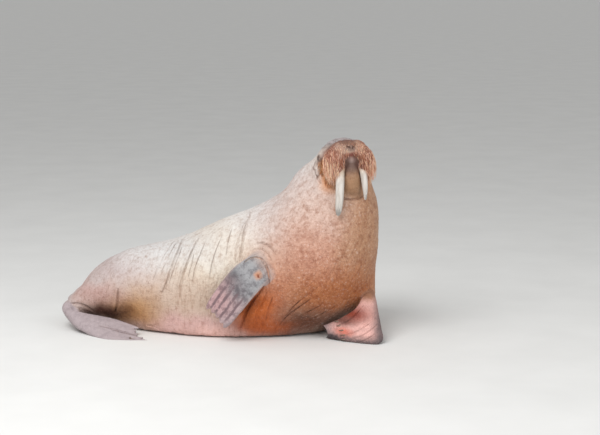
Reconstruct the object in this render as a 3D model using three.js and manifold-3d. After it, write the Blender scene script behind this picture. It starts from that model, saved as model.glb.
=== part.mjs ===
// A life-size adult male walrus resting on its belly, hindquarters to the left, chest raised and
// turned to the front, right foreflipper lifted, left foreflipper planted, hind feet folded forward.
// Millimetres, +Z up, +X from the heels towards the chest, -Y towards the side that the face looks to.
// The belly's flat at z = 0 is the level that it rests on.
import * as THREE from "three";
import { mergeVertices } from "three/addons/utils/BufferGeometryUtils.js";
import Module from "manifold-3d";

const wasm = await Module();
wasm.setup();

// Driving dimensions

const GAP = 0.3; // left between nodes that touch
const TRUNK_CELL = 66; // mesh size on the trunk
const HEAD_CELL = 24; // mesh size on the head
const PAD_CELL = 20; // mesh size on the whisker pads, the jaw and the tail

// Middles of the body's masses, from the hips forward and up to the throat
const HIPS = [-775, 40, 222];
const LOINS = [-545, 20, 250];
const WAIST = [-190, 0, 311];
const BELLY = [130, -20, 350];
const CHEST = [510, -140, 440];
const BREAST = [622, -180, 680];
const THROAT = [708, -235, 900];
const NAPE = [565, -185, 930];
const WITHERS = [322, -90, 662];
const BELLY_SPREAD = [40, 10, 50];

const HEAD_PLACE = [735, -305, 1152]; // middle of the head
const HEAD_YAW = 11; // degrees that the face turns towards +X
const HEAD_LIFT = 20; // degrees that the muzzle points above level
const HEAD_ROLL = 4; // degrees that the left side of the face is raised

const EYE_RADIUS = 17;
const EYE_FROM = [20, 60, 0]; // inside the head, behind the left eye
const EYE_WAY = [0.15, 1, 0.2]; // the way that the left eye looks
const EYE_SUNK = 5; // depth of the eyeball's middle under the skin
// Tusks: how far the root is from the head's middle plane, length from there, radius there, degrees
// that it leans outwards, how much narrower its tip is and how late it narrows
const RIGHT_TUSK = { side: -1, from: 64, length: 330, radius: 29, splay: 9, worn: 0.55, late: 9 };
const LEFT_TUSK = { side: 1, from: 75, length: 245, radius: 24, splay: 0, worn: 0.6, late: 3 };
const LIP_DROP = 48; // how far the tusks' roots are below the middle of the head
const BRISTLE_ROOT_RADIUS = 3;
const BRISTLES_ACROSS = 6;
const BRISTLES_DOWN = 8;
const BRISTLE_LENGTH = 36;
const BRISTLE_TOP = 48; // degrees above level of the top row
const BRISTLE_DROP = 118; // degrees from the top row to the bottom one
const BRISTLE_INNER = -42; // degrees from straight ahead of the innermost bristle
const BRISTLE_FAN = 118; // degrees from the innermost bristle to the outermost
const BRISTLE_STRAY = 0.3; // share of a step that a bristle may stand out of line
const BRISTLE_FROM = [120, 82, -12]; // the point in the left pad that its bristles fan out from
const LID_RADIUS = 7;
const NOSTRIL_PLACE = [222, 16, 28]; // on the left side of the nose
const NOSTRIL_RADII = [18, 7, 11];
const NOSTRIL_TURN = 24; // degrees that a nostril's slit opens outwards
const EAR_PLACE = [-62, 158, 40];
const EAR_RADII = [11, 16, 5];
const CLAW_LENGTH = 26;
const CLAW_RADIUS = 6;
const CLAW_AT = 0.86; // share of a digit's length
const TAIL_PLACE = [-985, 60, 120];
const DIGITS = 5;
const COLUMNS_A_DIGIT = 3;
const FLIPPER_RINGS = 8;
const BODY_MIDDLE = 60; // y of the middle of the hips

// Planes that part the trunk, each by a point and the way that it faces
const BEHIND_BELLY = { place: [-470, 0, 0], way: [1, 0, 0] };
const BEHIND_CHEST = { place: [300, 0, 400], way: [0.95, 0, 0.3] };
const UNDER_NECK = { place: [650, -215, 850], way: [0.25, -0.23, 0.94] };
const BEHIND_HEAD = { place: [60, 0, -178], way: [0.746, 0, 0.666] }; // in the head's frame

// Fields: each is a function of x, y, z that is negative inside and roughly a distance in mm

const clamp = (v, low, high) => Math.min(high, Math.max(low, v));

function ellipsoid(centre, radii, turn = [0, 0, 0]) {
  const [cx, cy, cz] = centre;
  const [rx, ry, rz] = radii;
  const angles = new THREE.Euler(...turn.map((d) => THREE.MathUtils.degToRad(d)));
  const m = new THREE.Matrix4().makeRotationFromEuler(angles).elements;
  return (x, y, z) => {
    const dx = x - cx;
    const dy = y - cy;
    const dz = z - cz;
    const a = m[0] * dx + m[1] * dy + m[2] * dz;
    const b = m[4] * dx + m[5] * dy + m[6] * dz;
    const c = m[8] * dx + m[9] * dy + m[10] * dz;
    const k0 = Math.hypot(a / rx, b / ry, c / rz);
    const k1 = Math.hypot(a / (rx * rx), b / (ry * ry), c / (rz * rz));
    return k1 > 0 ? (k0 * (k0 - 1)) / k1 : -Math.min(rx, ry, rz);
  };
}

// A limb: a straight run from a to b whose radius goes evenly from ra to rb.
function limb(a, ra, b, rb) {
  const ab = [b[0] - a[0], b[1] - a[1], b[2] - a[2]];
  const length2 = ab[0] ** 2 + ab[1] ** 2 + ab[2] ** 2;
  return (x, y, z) => {
    const along = (x - a[0]) * ab[0] + (y - a[1]) * ab[1] + (z - a[2]) * ab[2];
    const t = clamp(along / length2, 0, 1);
    const away = Math.hypot(x - a[0] - t * ab[0], y - a[1] - t * ab[1], z - a[2] - t * ab[2]);
    return away - (ra + t * (rb - ra));
  };
}

const softMin = (a, b, k) => {
  const h = Math.max(k - Math.abs(a - b), 0) / k;
  return Math.min(a, b) - (h * h * k) / 4;
};

const fuse = (k, ...fields) => (x, y, z) =>
  fields.reduce((d, field) => softMin(d, field(x, y, z), k), 1e6);

const above = (height, k, field) => (x, y, z) => -softMin(-field(x, y, z), z - height, k);

// Frames: the head has its own, x forward along the muzzle, y to its left, z to its crown

function frameAt(place, yaw, lift, roll) {
  const turn = new THREE.Matrix4()
    .makeRotationZ(THREE.MathUtils.degToRad(yaw - 90))
    .multiply(new THREE.Matrix4().makeRotationY(THREE.MathUtils.degToRad(-lift)))
    .multiply(new THREE.Matrix4().makeRotationX(THREE.MathUtils.degToRad(roll)));
  return turn.setPosition(...place);
}

const headFrame = frameAt(HEAD_PLACE, HEAD_YAW, HEAD_LIFT, HEAD_ROLL);
const onHead = (x, y, z) => new THREE.Vector3(x, y, z).applyMatrix4(headFrame);

function inFrame(frame, field) {
  const m = frame.clone().invert().elements;
  return (x, y, z) =>
    field(
      m[0] * x + m[4] * y + m[8] * z + m[12],
      m[1] * x + m[5] * y + m[9] * z + m[13],
      m[2] * x + m[6] * y + m[10] * z + m[14],
    );
}

// Meshing a field: one point in each cell that the surface crosses, moved onto the surface

function slopeOf(field, p) {
  const e = 0.5;
  return new THREE.Vector3(
    field(p.x + e, p.y, p.z) - field(p.x - e, p.y, p.z),
    field(p.x, p.y + e, p.z) - field(p.x, p.y - e, p.z),
    field(p.x, p.y, p.z + e) - field(p.x, p.y, p.z - e),
  ).divideScalar(2 * e);
}

function settle(field, p, reach) {
  const start = p.clone();
  for (let step = 0; step < 3; step++) {
    const slope = slopeOf(field, p);
    const steep = Math.max(slope.lengthSq(), 0.05);
    p.addScaledVector(slope, -field(p.x, p.y, p.z) / steep);
    p.sub(start).clampLength(0, reach).add(start);
  }
  return p;
}

function meshOf(field, box, cell) {
  const size = box.getSize(new THREE.Vector3());
  const n = ["x", "y", "z"].map((k) => Math.ceil(size[k] / cell) + 1);
  const at = (i, j, k) => (i * n[1] + j) * n[2] + k;
  const spot = (i, j, k) => [box.min.x + i * cell, box.min.y + j * cell, box.min.z + k * cell];
  const depth = new Float64Array(n[0] * n[1] * n[2]);
  for (let i = 0; i < n[0]; i++)
    for (let j = 0; j < n[1]; j++)
      for (let k = 0; k < n[2]; k++) depth[at(i, j, k)] = field(...spot(i, j, k));

  const corners = [0, 1].flatMap((a) => [0, 1].flatMap((b) => [0, 1].map((c) => [a, b, c])));
  const edges = corners.flatMap((a, i) =>
    corners.slice(i + 1).filter((b) => a.filter((v, k) => v !== b[k]).length === 1).map((b) => [a, b]),
  );
  const points = [];
  const cellPoint = new Map();
  for (let i = 0; i < n[0] - 1; i++)
    for (let j = 0; j < n[1] - 1; j++)
      for (let k = 0; k < n[2] - 1; k++) {
        const middle = new THREE.Vector3();
        let crossings = 0;
        for (const [a, b] of edges) {
          const da = depth[at(i + a[0], j + a[1], k + a[2])];
          const db = depth[at(i + b[0], j + b[1], k + b[2])];
          if (da < 0 === db < 0) continue;
          const t = da / (da - db);
          middle.add(new THREE.Vector3(...a.map((v, q) => v + t * (b[q] - v))));
          crossings++;
        }
        if (!crossings) continue;
        middle.divideScalar(crossings).add(new THREE.Vector3(i, j, k)).multiplyScalar(cell).add(box.min);
        cellPoint.set(at(i, j, k), points.length);
        points.push(settle(field, middle, cell * 0.45));
      }

  const index = [];
  const quad = (a, b, c, d) => {
    const short = points[a].distanceTo(points[c]) < points[b].distanceTo(points[d]);
    index.push(...(short ? [a, b, c, a, c, d] : [b, c, d, b, d, a]));
  };
  const steps = [[1, 0, 0], [0, 1, 0], [0, 0, 1]];
  for (let i = 1; i < n[0] - 1; i++)
    for (let j = 1; j < n[1] - 1; j++)
      for (let k = 1; k < n[2] - 1; k++)
        steps.forEach(([a, b, c], axis) => {
          const here = depth[at(i, j, k)] < 0;
          const there = depth[at(i + a, j + b, k + c)] < 0;
          if (here === there) return;
          const u = steps[(axis + 1) % 3];
          const v = steps[(axis + 2) % 3];
          const around = [[0, 0], [1, 0], [1, 1], [0, 1]].map(([p, q]) =>
            cellPoint.get(at(i - p * u[0] - q * v[0], j - p * u[1] - q * v[1], k - p * u[2] - q * v[2])),
          );
          quad(...(here ? around : around.reverse()));
        });
  return geometryOf(points, index);
}

function geometryOf(points, index) {
  const position = new Float32Array(points.length * 3);
  points.forEach((p, i) => position.set([p.x, p.y, p.z], i * 3));
  return new THREE.BufferGeometry()
    .setAttribute("position", new THREE.BufferAttribute(position, 3))
    .setIndex(index);
}

// Solids: joined and cut with manifold-3d

function solid(geometry) {
  const bare = geometry.clone();
  bare.deleteAttribute("normal");
  bare.deleteAttribute("uv");
  const merged = mergeVertices(bare, 1e-3);
  return new wasm.Manifold(
    new wasm.Mesh({
      numProp: 3,
      vertProperties: new Float32Array(merged.attributes.position.array),
      triVerts: new Uint32Array(merged.index.array),
    }),
  );
}

function largest(made) {
  const pieces = made.decompose();
  return pieces.reduce((a, b) => (a.volume() > b.volume() ? a : b));
}

function shown(made, name, material) {
  const mesh = largest(made).getMesh();
  const geometry = new THREE.BufferGeometry()
    .setAttribute("position", new THREE.BufferAttribute(mesh.vertProperties, 3))
    .setIndex(new THREE.BufferAttribute(mesh.triVerts, 1));
  geometry.computeVertexNormals();
  const object = new THREE.Mesh(geometry, material);
  object.name = name;
  return object;
}

// Trunk and neck: soft masses from the hips to the throat, and the belly spread on the floor.
// A negative pitch raises a mass's front end.

const trunk = fuse(
  150,
  ellipsoid(HIPS, [252, 225, 203], [0, -19, 0]),
  ellipsoid(LOINS, [319, 305, 287], [0, -5, 0]),
  ellipsoid(WAIST, [400, 408, 315], [0, -14, 0]),
  ellipsoid(BELLY, [390, 465, 413], [0, -12, 0]),
  ellipsoid(CHEST, [425, 440, 410]),
  ellipsoid(BREAST, [338, 350, 320], [0, -14, 0]),
  ellipsoid(THROAT, [218, 240, 260], [0, -10, 0]),
  ellipsoid(NAPE, [158, 160, 180], [0, 23, 0]),
  ellipsoid(WITHERS, [281, 271, 181], [0, -26, 0]),
  ellipsoid(BELLY_SPREAD, [690, 432, 225]),
);

const legs = fuse(
  60,
  limb([-740, -70, 213], 152, [-1020, -50, 140], 92),
  limb([-740, 140, 213], 152, [-1020, 150, 140], 92),
);

const shoulders = fuse(
  60,
  limb([350, -330, 440], 180, [235, -440, 440], 90),
  limb([760, -40, 430], 170, [860, -270, 230], 92),
);

// Head, in its own frame: braincase, cheeks, muzzle, brows and nose

const skull = fuse(
  60,
  ellipsoid([-52, 0, 12], [170, 154, 140]),
  ellipsoid([85, 0, 0], [125, 120, 98]),
  ellipsoid([-20, -84, -50], [120, 82, 100]),
  ellipsoid([-20, 84, -50], [120, 82, 100]),
  ellipsoid([24, -119, 38], [54, 42, 30]),
  ellipsoid([24, 119, 38], [54, 42, 30]),
  ellipsoid([166, 0, 22], [62, 44, 42], [0, -10, 0]),
);

const walrus = above(-3, 40, fuse(80, trunk, inFrame(headFrame, skull), legs, shoulders));

const padField = (side) =>
  fuse(
    30,
    ellipsoid([140, side * 50, 12], [90, 74, 80]),
    ellipsoid([130, side * 72, -20], [86, 76, 88]),
    ellipsoid([116, side * 94, -50], [78, 74, 100]),
  );

const jawField = fuse(
  40,
  ellipsoid([126, 0, -28], [76, 54, 70]),
  ellipsoid([70, 0, -116], [100, 76, 78]),
  ellipsoid([62, 0, -184], [86, 72, 76]),
);

const tailField = fuse(
  30,
  ellipsoid(TAIL_PLACE, [95, 60, 26], [0, -24, 0]),
  ellipsoid([-930, 60, 150], [80, 66, 50]),
);

// Flippers: five digits on a bent plate, in rings from the wrist to the tips

const smooth = (low, high, v) => {
  const t = clamp((v - low) / (high - low), 0, 1);
  return t * t * (3 - 2 * t);
};

const curveThrough = (points) => new THREE.CatmullRomCurve3(points.map((p) => new THREE.Vector3(...p)));

// A place on a flipper: s from -1 to 1 across its digits, t from 0 at the wrist to 1 at the tips.
function placeOn({ line, across, width, thick, webs, grooves, lengths }, s, t) {
  const place = ((s + 1) / 2) * (DIGITS - 1);
  const digit = Math.min(Math.floor(place), DIGITS - 2);
  const length = lengths[digit] + (lengths[digit + 1] - lengths[digit]) * smooth(0, 1, place - digit);
  const onDigit = Math.sin(((s + 1) / 2) * DIGITS * Math.PI) ** 2;
  const reach = t * (1 - (1 - length + webs * (1 - onDigit)) * t ** 1.5);
  const side = curveThrough(across).getPoint(reach).normalize();
  const ahead = curveThrough(line).getTangent(reach);
  const out = new THREE.Vector3().crossVectors(side, ahead).normalize();
  const widths = new THREE.SplineCurve(width.map((w, i) => new THREE.Vector2(i, w)));
  const middle = curveThrough(line).getPoint(reach).addScaledVector(side, s * widths.getPoint(reach).y);
  const rounding = 0.18 + 0.82 * Math.sqrt(1 - Math.abs(s) ** 3);
  const ridge = 1 - grooves * smooth(0.25, 0.7, t) * (1 - onDigit);
  const half = (thick[0] + (thick[1] - thick[0]) * smooth(0, 1, t)) * rounding * ridge;
  return { middle, out, ahead, half };
}

function flipper(shape) {
  const columns = DIGITS * COLUMNS_A_DIGIT;
  const rings = [];
  for (let i = 0; i <= FLIPPER_RINGS; i++) {
    const top = [];
    const bottom = [];
    for (let j = 0; j <= columns; j++) {
      const { middle, out, half } = placeOn(shape, (2 * j) / columns - 1, i / FLIPPER_RINGS);
      top.push(middle.clone().addScaledVector(out, half));
      bottom.push(middle.clone().addScaledVector(out, -0.7 * half));
    }
    rings.push([...top, ...bottom.reverse()]);
  }
  return solid(loft(rings));
}

// A claw on each digit, lying on its upper face a little short of the tip.
function claws(shape) {
  return Array.from({ length: DIGITS }, (_, i) => {
    const { middle, out, ahead, half } = placeOn(shape, (2 * i + 1) / DIGITS - 1, CLAW_AT);
    const at = (up, on) => middle.clone().addScaledVector(out, half + up).addScaledVector(ahead, on);
    const line = [
      at(-CLAW_RADIUS, -CLAW_LENGTH / 3),
      at(CLAW_RADIUS / 2, CLAW_LENGTH / 4),
      at(CLAW_RADIUS / 4, CLAW_LENGTH),
    ];
    return solid(horn(line, (t) => CLAW_RADIUS * (1 - 0.75 * t), 2, 5));
  });
}

// A place on the head's left, or its mirror image on the right where side is -1.
const sided = ([x, y, z], side) => [x, side * y, z];

// A closed skin over rings of equal length that run anticlockwise about the way ahead.
function loft(rings) {
  const around = rings[0].length;
  const index = [];
  rings.slice(1).forEach((_, i) => {
    for (let j = 0; j < around; j++) {
      const a = i * around + j;
      const b = i * around + ((j + 1) % around);
      index.push(a, b, b + around, a, b + around, a + around);
    }
  });
  const zigzag = Array.from({ length: around }, (_, k) => (k % 2 ? around - (k + 1) / 2 : k / 2));
  for (const [first, turn] of [[0, 0], [(rings.length - 1) * around, 1]])
    for (let k = 0; k < around - 2; k++) {
      const [a, b, c] = zigzag.slice(k, k + 3).map((v) => v + first);
      index.push(...(k % 2 === turn ? [a, b, c] : [a, c, b]));
    }
  return geometryOf(rings.flat(), index);
}

// A round rod that tapers along a curve: a tusk, a claw or a bristle.
function horn(line, radiusAt, steps, sides) {
  const curve = new THREE.CatmullRomCurve3(line);
  const frames = curve.computeFrenetFrames(steps, false);
  const rings = Array.from({ length: steps + 1 }, (_, i) =>
    Array.from({ length: sides }, (_, j) => {
      const angle = (2 * Math.PI * j) / sides;
      return curve
        .getPointAt(i / steps)
        .addScaledVector(frames.normals[i], radiusAt(i / steps) * Math.cos(angle))
        .addScaledVector(frames.binormals[i], radiusAt(i / steps) * Math.sin(angle));
    }),
  );
  return loft(rings);
}

const RIGHT_FORE = {
  line: [
    [330, -390, 510], [222, -490, 498], [104, -528, 410],
    [10, -538, 297], [-62, -532, 200], [-100, -522, 148],
  ],
  across: [[0.45, -0.5, -0.75], [0.6, -0.35, -0.7], [0.7, -0.2, -0.68], [0.72, -0.15, -0.66]],
  width: [92, 100, 114, 113, 106, 94],
  thick: [44, 14],
  webs: 0.07,
  grooves: 0.38,
  lengths: [0.97, 0.93, 0.94, 0.97, 1],
};

const LEFT_FORE = {
  line: [
    [850, -270, 270], [895, -350, 222], [918, -450, 158],
    [884, -512, 112], [758, -488, 76], [606, -395, 40],
  ],
  across: [
    [0.8, 0.1, -0.2], [0.1, 0.5, 0.8], [-0.45, 0.45, 0.78], [-0.4, 0.42, 0.85], [-0.15, 0.5, 0.7],
  ],
  width: [80, 90, 160, 146, 92, 46],
  thick: [50, 14],
  webs: 0,
  grooves: 0.1,
  lengths: [1, 0.97, 0.97, 0.98, 1],
};

const RIGHT_HIND = {
  line: [
    [-960, -20, 130], [-1070, -80, 105], [-1050, -185, 80], [-935, -275, 56],
    [-780, -345, 38], [-640, -385, 24], [-515, -400, 14],
  ],
  across: [[0.2, 0.9, 0.4], [-0.6, 0.6, 0.5], [-0.4, 0.75, 0.5], [0.25, 0.87, 0.42], [0, 0.96, 0.3]],
  width: [80, 98, 118, 124, 112, 88, 70],
  thick: [55, 12],
  webs: 0.05,
  grooves: 0.34,
  lengths: [1, 0.92, 0.76, 0.78, 0.87],
};

const LEFT_HIND = {
  ...RIGHT_HIND,
  line: RIGHT_HIND.line.map(([x, y, z]) => [x, 2 * BODY_MIDDLE - y, z]),
  across: RIGHT_HIND.across.map(([x, y, z]) => [-x, y, -z]),
  lengths: [...RIGHT_HIND.lengths].reverse(),
};

// Solids of one kind or another

const boxAround = (place, reach) =>
  new THREE.Box3(place.clone().subScalar(reach), place.clone().addScalar(reach));

const onFloor = (made) => made.trimByPlane([0, 0, 1], 0);

// The same solid, larger by the gap all round.
function grown(made) {
  const { vertProperties, triVerts } = made.getMesh();
  const geometry = new THREE.BufferGeometry()
    .setAttribute("position", new THREE.BufferAttribute(vertProperties.slice(), 3))
    .setIndex(new THREE.BufferAttribute(triVerts, 1));
  geometry.computeVertexNormals();
  const { position, normal } = geometry.attributes;
  position.array.forEach((v, i) => {
    position.array[i] = v + 1.1 * GAP * normal.array[i];
  });
  return solid(geometry);
}

const clearOf = (made, ...others) => others.reduce((left, other) => left.subtract(grown(other)), made);

// A round pit or knob on the head, turned about the head's own axes.
function knob(place, radii, turn, segments = 10) {
  const pose = new THREE.Matrix4()
    .makeRotationFromEuler(new THREE.Euler(...turn.map((d) => THREE.MathUtils.degToRad(d))))
    .scale(new THREE.Vector3(...radii))
    .setPosition(...place);
  const round = new THREE.SphereGeometry(1, segments, Math.round(segments * 0.7));
  return solid(round.applyMatrix4(headFrame.clone().multiply(pose)));
}

// A tusk: down from the lip, leaning outwards, its tip curving back.
function tusk({ side, from, length, radius, splay, worn, late }) {
  const lean = Math.tan(THREE.MathUtils.degToRad(splay));
  const apart = (share) => side * (from + lean * length * share);
  const down = (forward, share) => onHead(forward, apart(share), -LIP_DROP - length * share);
  const line = [down(134, 0), down(148, 0.35), down(136, 0.7), down(100, 1)];
  return solid(horn(line, (t) => radius * (1 - 0.14 * t - worn * t ** late), 12, 10));
}

// Bristles in rows down a pad, fanned outwards and hanging towards their tips.
function bristles(side) {
  const field = padField(side);
  const middle = new THREE.Vector3(...sided(BRISTLE_FROM, side));
  const degrees = THREE.MathUtils.degToRad;
  const made = [];
  for (let row = 0; row < BRISTLES_DOWN; row++)
    for (let column = 0; column < BRISTLES_ACROSS; column++) {
      const down = (row + BRISTLE_STRAY * chance()) / (BRISTLES_DOWN - 1);
      const over = (column + 0.5 * (row % 2) + BRISTLE_STRAY * chance()) / BRISTLES_ACROSS;
      const rise = degrees(BRISTLE_TOP - BRISTLE_DROP * down);
      const swing = degrees(BRISTLE_INNER + BRISTLE_FAN * over);
      const out = new THREE.Vector3(
        Math.cos(rise) * Math.cos(swing),
        side * Math.cos(rise) * Math.sin(swing),
        Math.sin(rise),
      );
      const skin = middle.clone().addScaledVector(out, surfaceAlong(field, middle, out));
      const way = out.clone().add(new THREE.Vector3(0.1, 0, -0.75)).normalize();
      const length = BRISTLE_LENGTH * (0.75 + 0.5 * chance()) * (1 + 0.5 * (row / BRISTLES_DOWN));
      const line = [
        skin.clone().addScaledVector(way, -0.3 * length),
        skin.clone().addScaledVector(way, 0.45 * length),
        skin.clone().addScaledVector(way, length).add(new THREE.Vector3(0, 0, -0.16 * length)),
      ];
      const placed = line.map((p) => p.applyMatrix4(headFrame));
      made.push(solid(horn(placed, (t) => BRISTLE_ROOT_RADIUS * (1 - 0.8 * t), 2, 3)));
    }
  return made;
}

// How far it is from a place inside a field to its surface.
function surfaceAlong(field, from, way) {
  let [low, high] = [0, 400];
  for (let step = 0; step < 24; step++) {
    const middle = (low + high) / 2;
    const p = from.clone().addScaledVector(way, middle);
    if (field(p.x, p.y, p.z) < 0) low = middle;
    else high = middle;
  }
  return low;
}

let drawn = 12;
function chance() {
  drawn = (drawn * 1664525 + 1013904223) % 4294967296;
  return drawn / 4294967296;
}

// The middle of an eyeball, on the head, and the way that it looks.
function eyeAt(side) {
  const way = new THREE.Vector3(...sided(EYE_WAY, side)).normalize();
  const from = new THREE.Vector3(...sided(EYE_FROM, side));
  const skin = (x, y, z) => walrus(...onHead(x, y, z).toArray());
  return { way, place: from.clone().addScaledVector(way, surfaceAlong(skin, from, way) - EYE_SUNK) };
}

// A lid round an eye: a ring that stands on the skin.
function lid({ place, way }) {
  const pose = new THREE.Matrix4().lookAt(way, new THREE.Vector3(), new THREE.Vector3(0, 0, 1));
  const ring = new THREE.TorusGeometry(EYE_RADIUS, LID_RADIUS, 6, 14);
  const out = place.clone().addScaledVector(way, EYE_SUNK);
  return solid(ring.applyMatrix4(headFrame.clone().multiply(pose.setPosition(out))));
}

// The walrus whole, coarse on the trunk and fine on the head, before it is parted

const bodyBox = new THREE.Box3(new THREE.Vector3(-1300, -700, -90), new THREE.Vector3(1200, 700, 1500));
const body = onFloor(solid(meshOf(walrus, bodyBox, TRUNK_CELL)));

function planeAt({ place, way }) {
  const facing = new THREE.Vector3(...way).normalize();
  return new THREE.Plane().setFromNormalAndCoplanarPoint(facing, new THREE.Vector3(...place));
}

const behindBelly = planeAt(BEHIND_BELLY);
const behindChest = planeAt(BEHIND_CHEST);
const underNeck = planeAt(UNDER_NECK);
const behindHead = planeAt(BEHIND_HEAD).applyMatrix4(headFrame);

const ahead = (made, { normal, constant }) => made.trimByPlane(normal.toArray(), GAP / 2 - constant);
const behind = (made, { normal, constant }) =>
  made.trimByPlane(normal.clone().negate().toArray(), GAP / 2 + constant);

// The head, down to a little behind the plane that parts it from the neck.
const skinOfHead = (x, y, z) =>
  Math.max(walrus(x, y, z), -behindHead.distanceToPoint(new THREE.Vector3(x, y, z)) - 1.5 * HEAD_CELL);
const headBox = boxAround(new THREE.Vector3(...HEAD_PLACE), 460);
const bareHead = solid(meshOf(skinOfHead, headBox, HEAD_CELL));

const organAt = (field, place, reach) =>
  solid(meshOf(field, boxAround(new THREE.Vector3(...place), reach), PAD_CELL));
const organ = (field, place, reach) =>
  solid(meshOf(inFrame(headFrame, field), boxAround(onHead(...place), reach), PAD_CELL));

const hide = new THREE.MeshStandardMaterial({ color: 0xb08468, roughness: 0.75, metalness: 0 });
const flipperSkin = new THREE.MeshStandardMaterial({ color: 0x9a8f93, roughness: 0.7, metalness: 0 });
const lipSkin = new THREE.MeshStandardMaterial({ color: 0x9c6a52, roughness: 0.8, metalness: 0 });
const ivory = new THREE.MeshStandardMaterial({ color: 0xe8e0cf, roughness: 0.35, metalness: 0 });
const wetEye = new THREE.MeshStandardMaterial({ color: 0x1c1512, roughness: 0.15, metalness: 0 });

const walrusGroup = new THREE.Group();
const add = (name, made, material) => walrusGroup.add(shown(made, name, material));

add("rump", behind(body, behindBelly), hide);
add("belly", behind(ahead(body, behindBelly), behindChest), hide);
add("chest", behind(ahead(body, behindChest), underNeck), hide);
add("neck", behind(ahead(body, underNeck), behindHead), hide);

const flippers = {
  flipper_fore_right: RIGHT_FORE,
  flipper_fore_left: LEFT_FORE,
  flipper_hind_right: RIGHT_HIND,
  flipper_hind_left: LEFT_HIND,
};
for (const [name, shape] of Object.entries(flippers)) {
  const clawed = claws(shape).reduce((made, claw) => made.add(claw), flipper(shape));
  add(name, clearOf(onFloor(clawed), body), flipperSkin);
}
add("tail", clearOf(organAt(tailField, TAIL_PLACE, 200), body), hide);

const tusks = { right: tusk(RIGHT_TUSK), left: tusk(LEFT_TUSK) };
const jaw = organ(jawField, [90, 0, -80], 210);
add("lower_jaw", clearOf(jaw, bareHead, body, tusks.right, tusks.left), lipSkin);

let head = ahead(bareHead, behindHead);
for (const [name, side] of [["right", -1], ["left", 1]]) {
  const eye = eyeAt(side);
  const eyeball = (radius) => knob(eye.place.toArray(), [radius, radius, radius], [0, 0, 0]);
  head = head.add(lid(eye)).subtract(eyeball(EYE_RADIUS + GAP));
  head = head.subtract(knob(sided(NOSTRIL_PLACE, side), NOSTRIL_RADII, [0, 0, side * NOSTRIL_TURN]));
  head = head.subtract(knob(sided(EAR_PLACE, side), EAR_RADII, [0, 0, 0], 8));
  add(`eye_${name}`, eyeball(EYE_RADIUS), wetEye);
  add(`tusk_${name}`, clearOf(tusks[name], bareHead), ivory);
  const plainPad = organ(padField(side), [125, side * 88, -20], 190);
  const pad = bristles(side).reduce((made, bristle) => made.add(bristle), plainPad);
  add(`whisker_pad_${name}`, clearOf(pad, bareHead, tusks[name], jaw), lipSkin);
}
add("head", head, hide);

export default walrusGroup;
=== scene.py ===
"""A life-size adult male walrus at rest on its belly: its hide, whiskers, tusks, eyes and claws."""
import math

import bmesh
import bpy
import numpy as np
from mathutils import Euler, Matrix, Vector, bvhtree, kdtree, noise


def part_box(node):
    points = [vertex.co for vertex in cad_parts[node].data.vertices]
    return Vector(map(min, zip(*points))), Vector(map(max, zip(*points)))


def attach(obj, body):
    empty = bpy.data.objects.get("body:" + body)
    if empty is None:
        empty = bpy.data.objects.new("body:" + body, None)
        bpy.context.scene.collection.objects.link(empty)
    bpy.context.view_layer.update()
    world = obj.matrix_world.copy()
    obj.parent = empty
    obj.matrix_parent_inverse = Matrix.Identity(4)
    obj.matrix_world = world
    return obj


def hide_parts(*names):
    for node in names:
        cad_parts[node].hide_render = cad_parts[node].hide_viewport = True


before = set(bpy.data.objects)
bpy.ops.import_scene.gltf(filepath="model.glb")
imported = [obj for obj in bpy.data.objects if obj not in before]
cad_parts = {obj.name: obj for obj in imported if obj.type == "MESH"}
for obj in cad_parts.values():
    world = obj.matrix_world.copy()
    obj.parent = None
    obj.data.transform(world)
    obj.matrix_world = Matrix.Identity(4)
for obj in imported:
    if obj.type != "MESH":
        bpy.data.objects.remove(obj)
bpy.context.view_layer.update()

MM = 0.001

# Camera: the picture's frame and the place that it was taken from, in metres

PHOTO_WIDTH = 600
PHOTO_HEIGHT = 435
PHOTO_FOCUS = 1534  # focal length in the picture's pixels
SENSOR_WIDTH = 36
SIGHT_END = 1000  # metres that the camera sees
FLOOR_HALF = 400  # so that its far edge lies above the frame
CAMERA_PLACE = Vector((0.45, -10.1, 2.357))
HORIZON_ABOVE = 247.5  # pixels from the middle of the picture up to its horizon
CAMERA_DIP = math.atan(HORIZON_ABOVE / PHOTO_FOCUS)
CAMERA_TURN = Euler((math.pi / 2 - CAMERA_DIP, 0, 0))

# Head: its own frame has x along the muzzle, y to the animal's left and z to the crown

HEAD_PLACE = (735, -305, 1152)
HEAD_YAW = 11
HEAD_LIFT = 20
HEAD_ROLL = 4
EYE_WAY = (0.15, 1, 0.2)
LID_THICKNESS = 4 * MM
SIDES = {"right": -1, "left": 1}

# Tusks, in millimetres: distance from the middle plane, length and radius at the root, degrees
# outwards, how much narrower the tip is and how late they narrow
TUSKS = {
    "right": {"from": 64, "length": 330, "radius": 29, "splay": 9, "worn": 0.55, "late": 9},
    "left": {"from": 75, "length": 245, "radius": 24, "splay": 0, "worn": 0.6, "late": 3},
}
TUSK_CURVE = ((134, 0), (148, 0.35), (136, 0.7), (100, 1))  # x on the head by share of the length
LIP_DROP = 48  # how far the tusks' roots are below the middle of the head

# Skin

VOXEL = 5 * MM
SKIN_TRIANGLES = 192_000
HEAD_REACH = (0.24, 0.36)  # metres from the middle of the head over which its own evening fades
HEAD_NEAR = (0.2, 0.32)  # metres from the middle of the head over which the body's wrinkles begin
FLIPPER_REACH = (4 * MM, 12 * MM)  # distance from a flipper's own surface over which it ends
BARE_REACH = (8 * MM, 17 * MM)  # the same for its bare skin's colour
EYE_RIM = (17 * MM, 26 * MM)  # distance from the middle of an eye over which its dark rim ends
FACET_EVENING = 60  # rounds of evening out that take the trunk's facets away
HEAD_EVENING = 16
FLIPPER_EVENING = 9

# Flippers: the bent plates that the digits lie on, in millimetres

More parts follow.
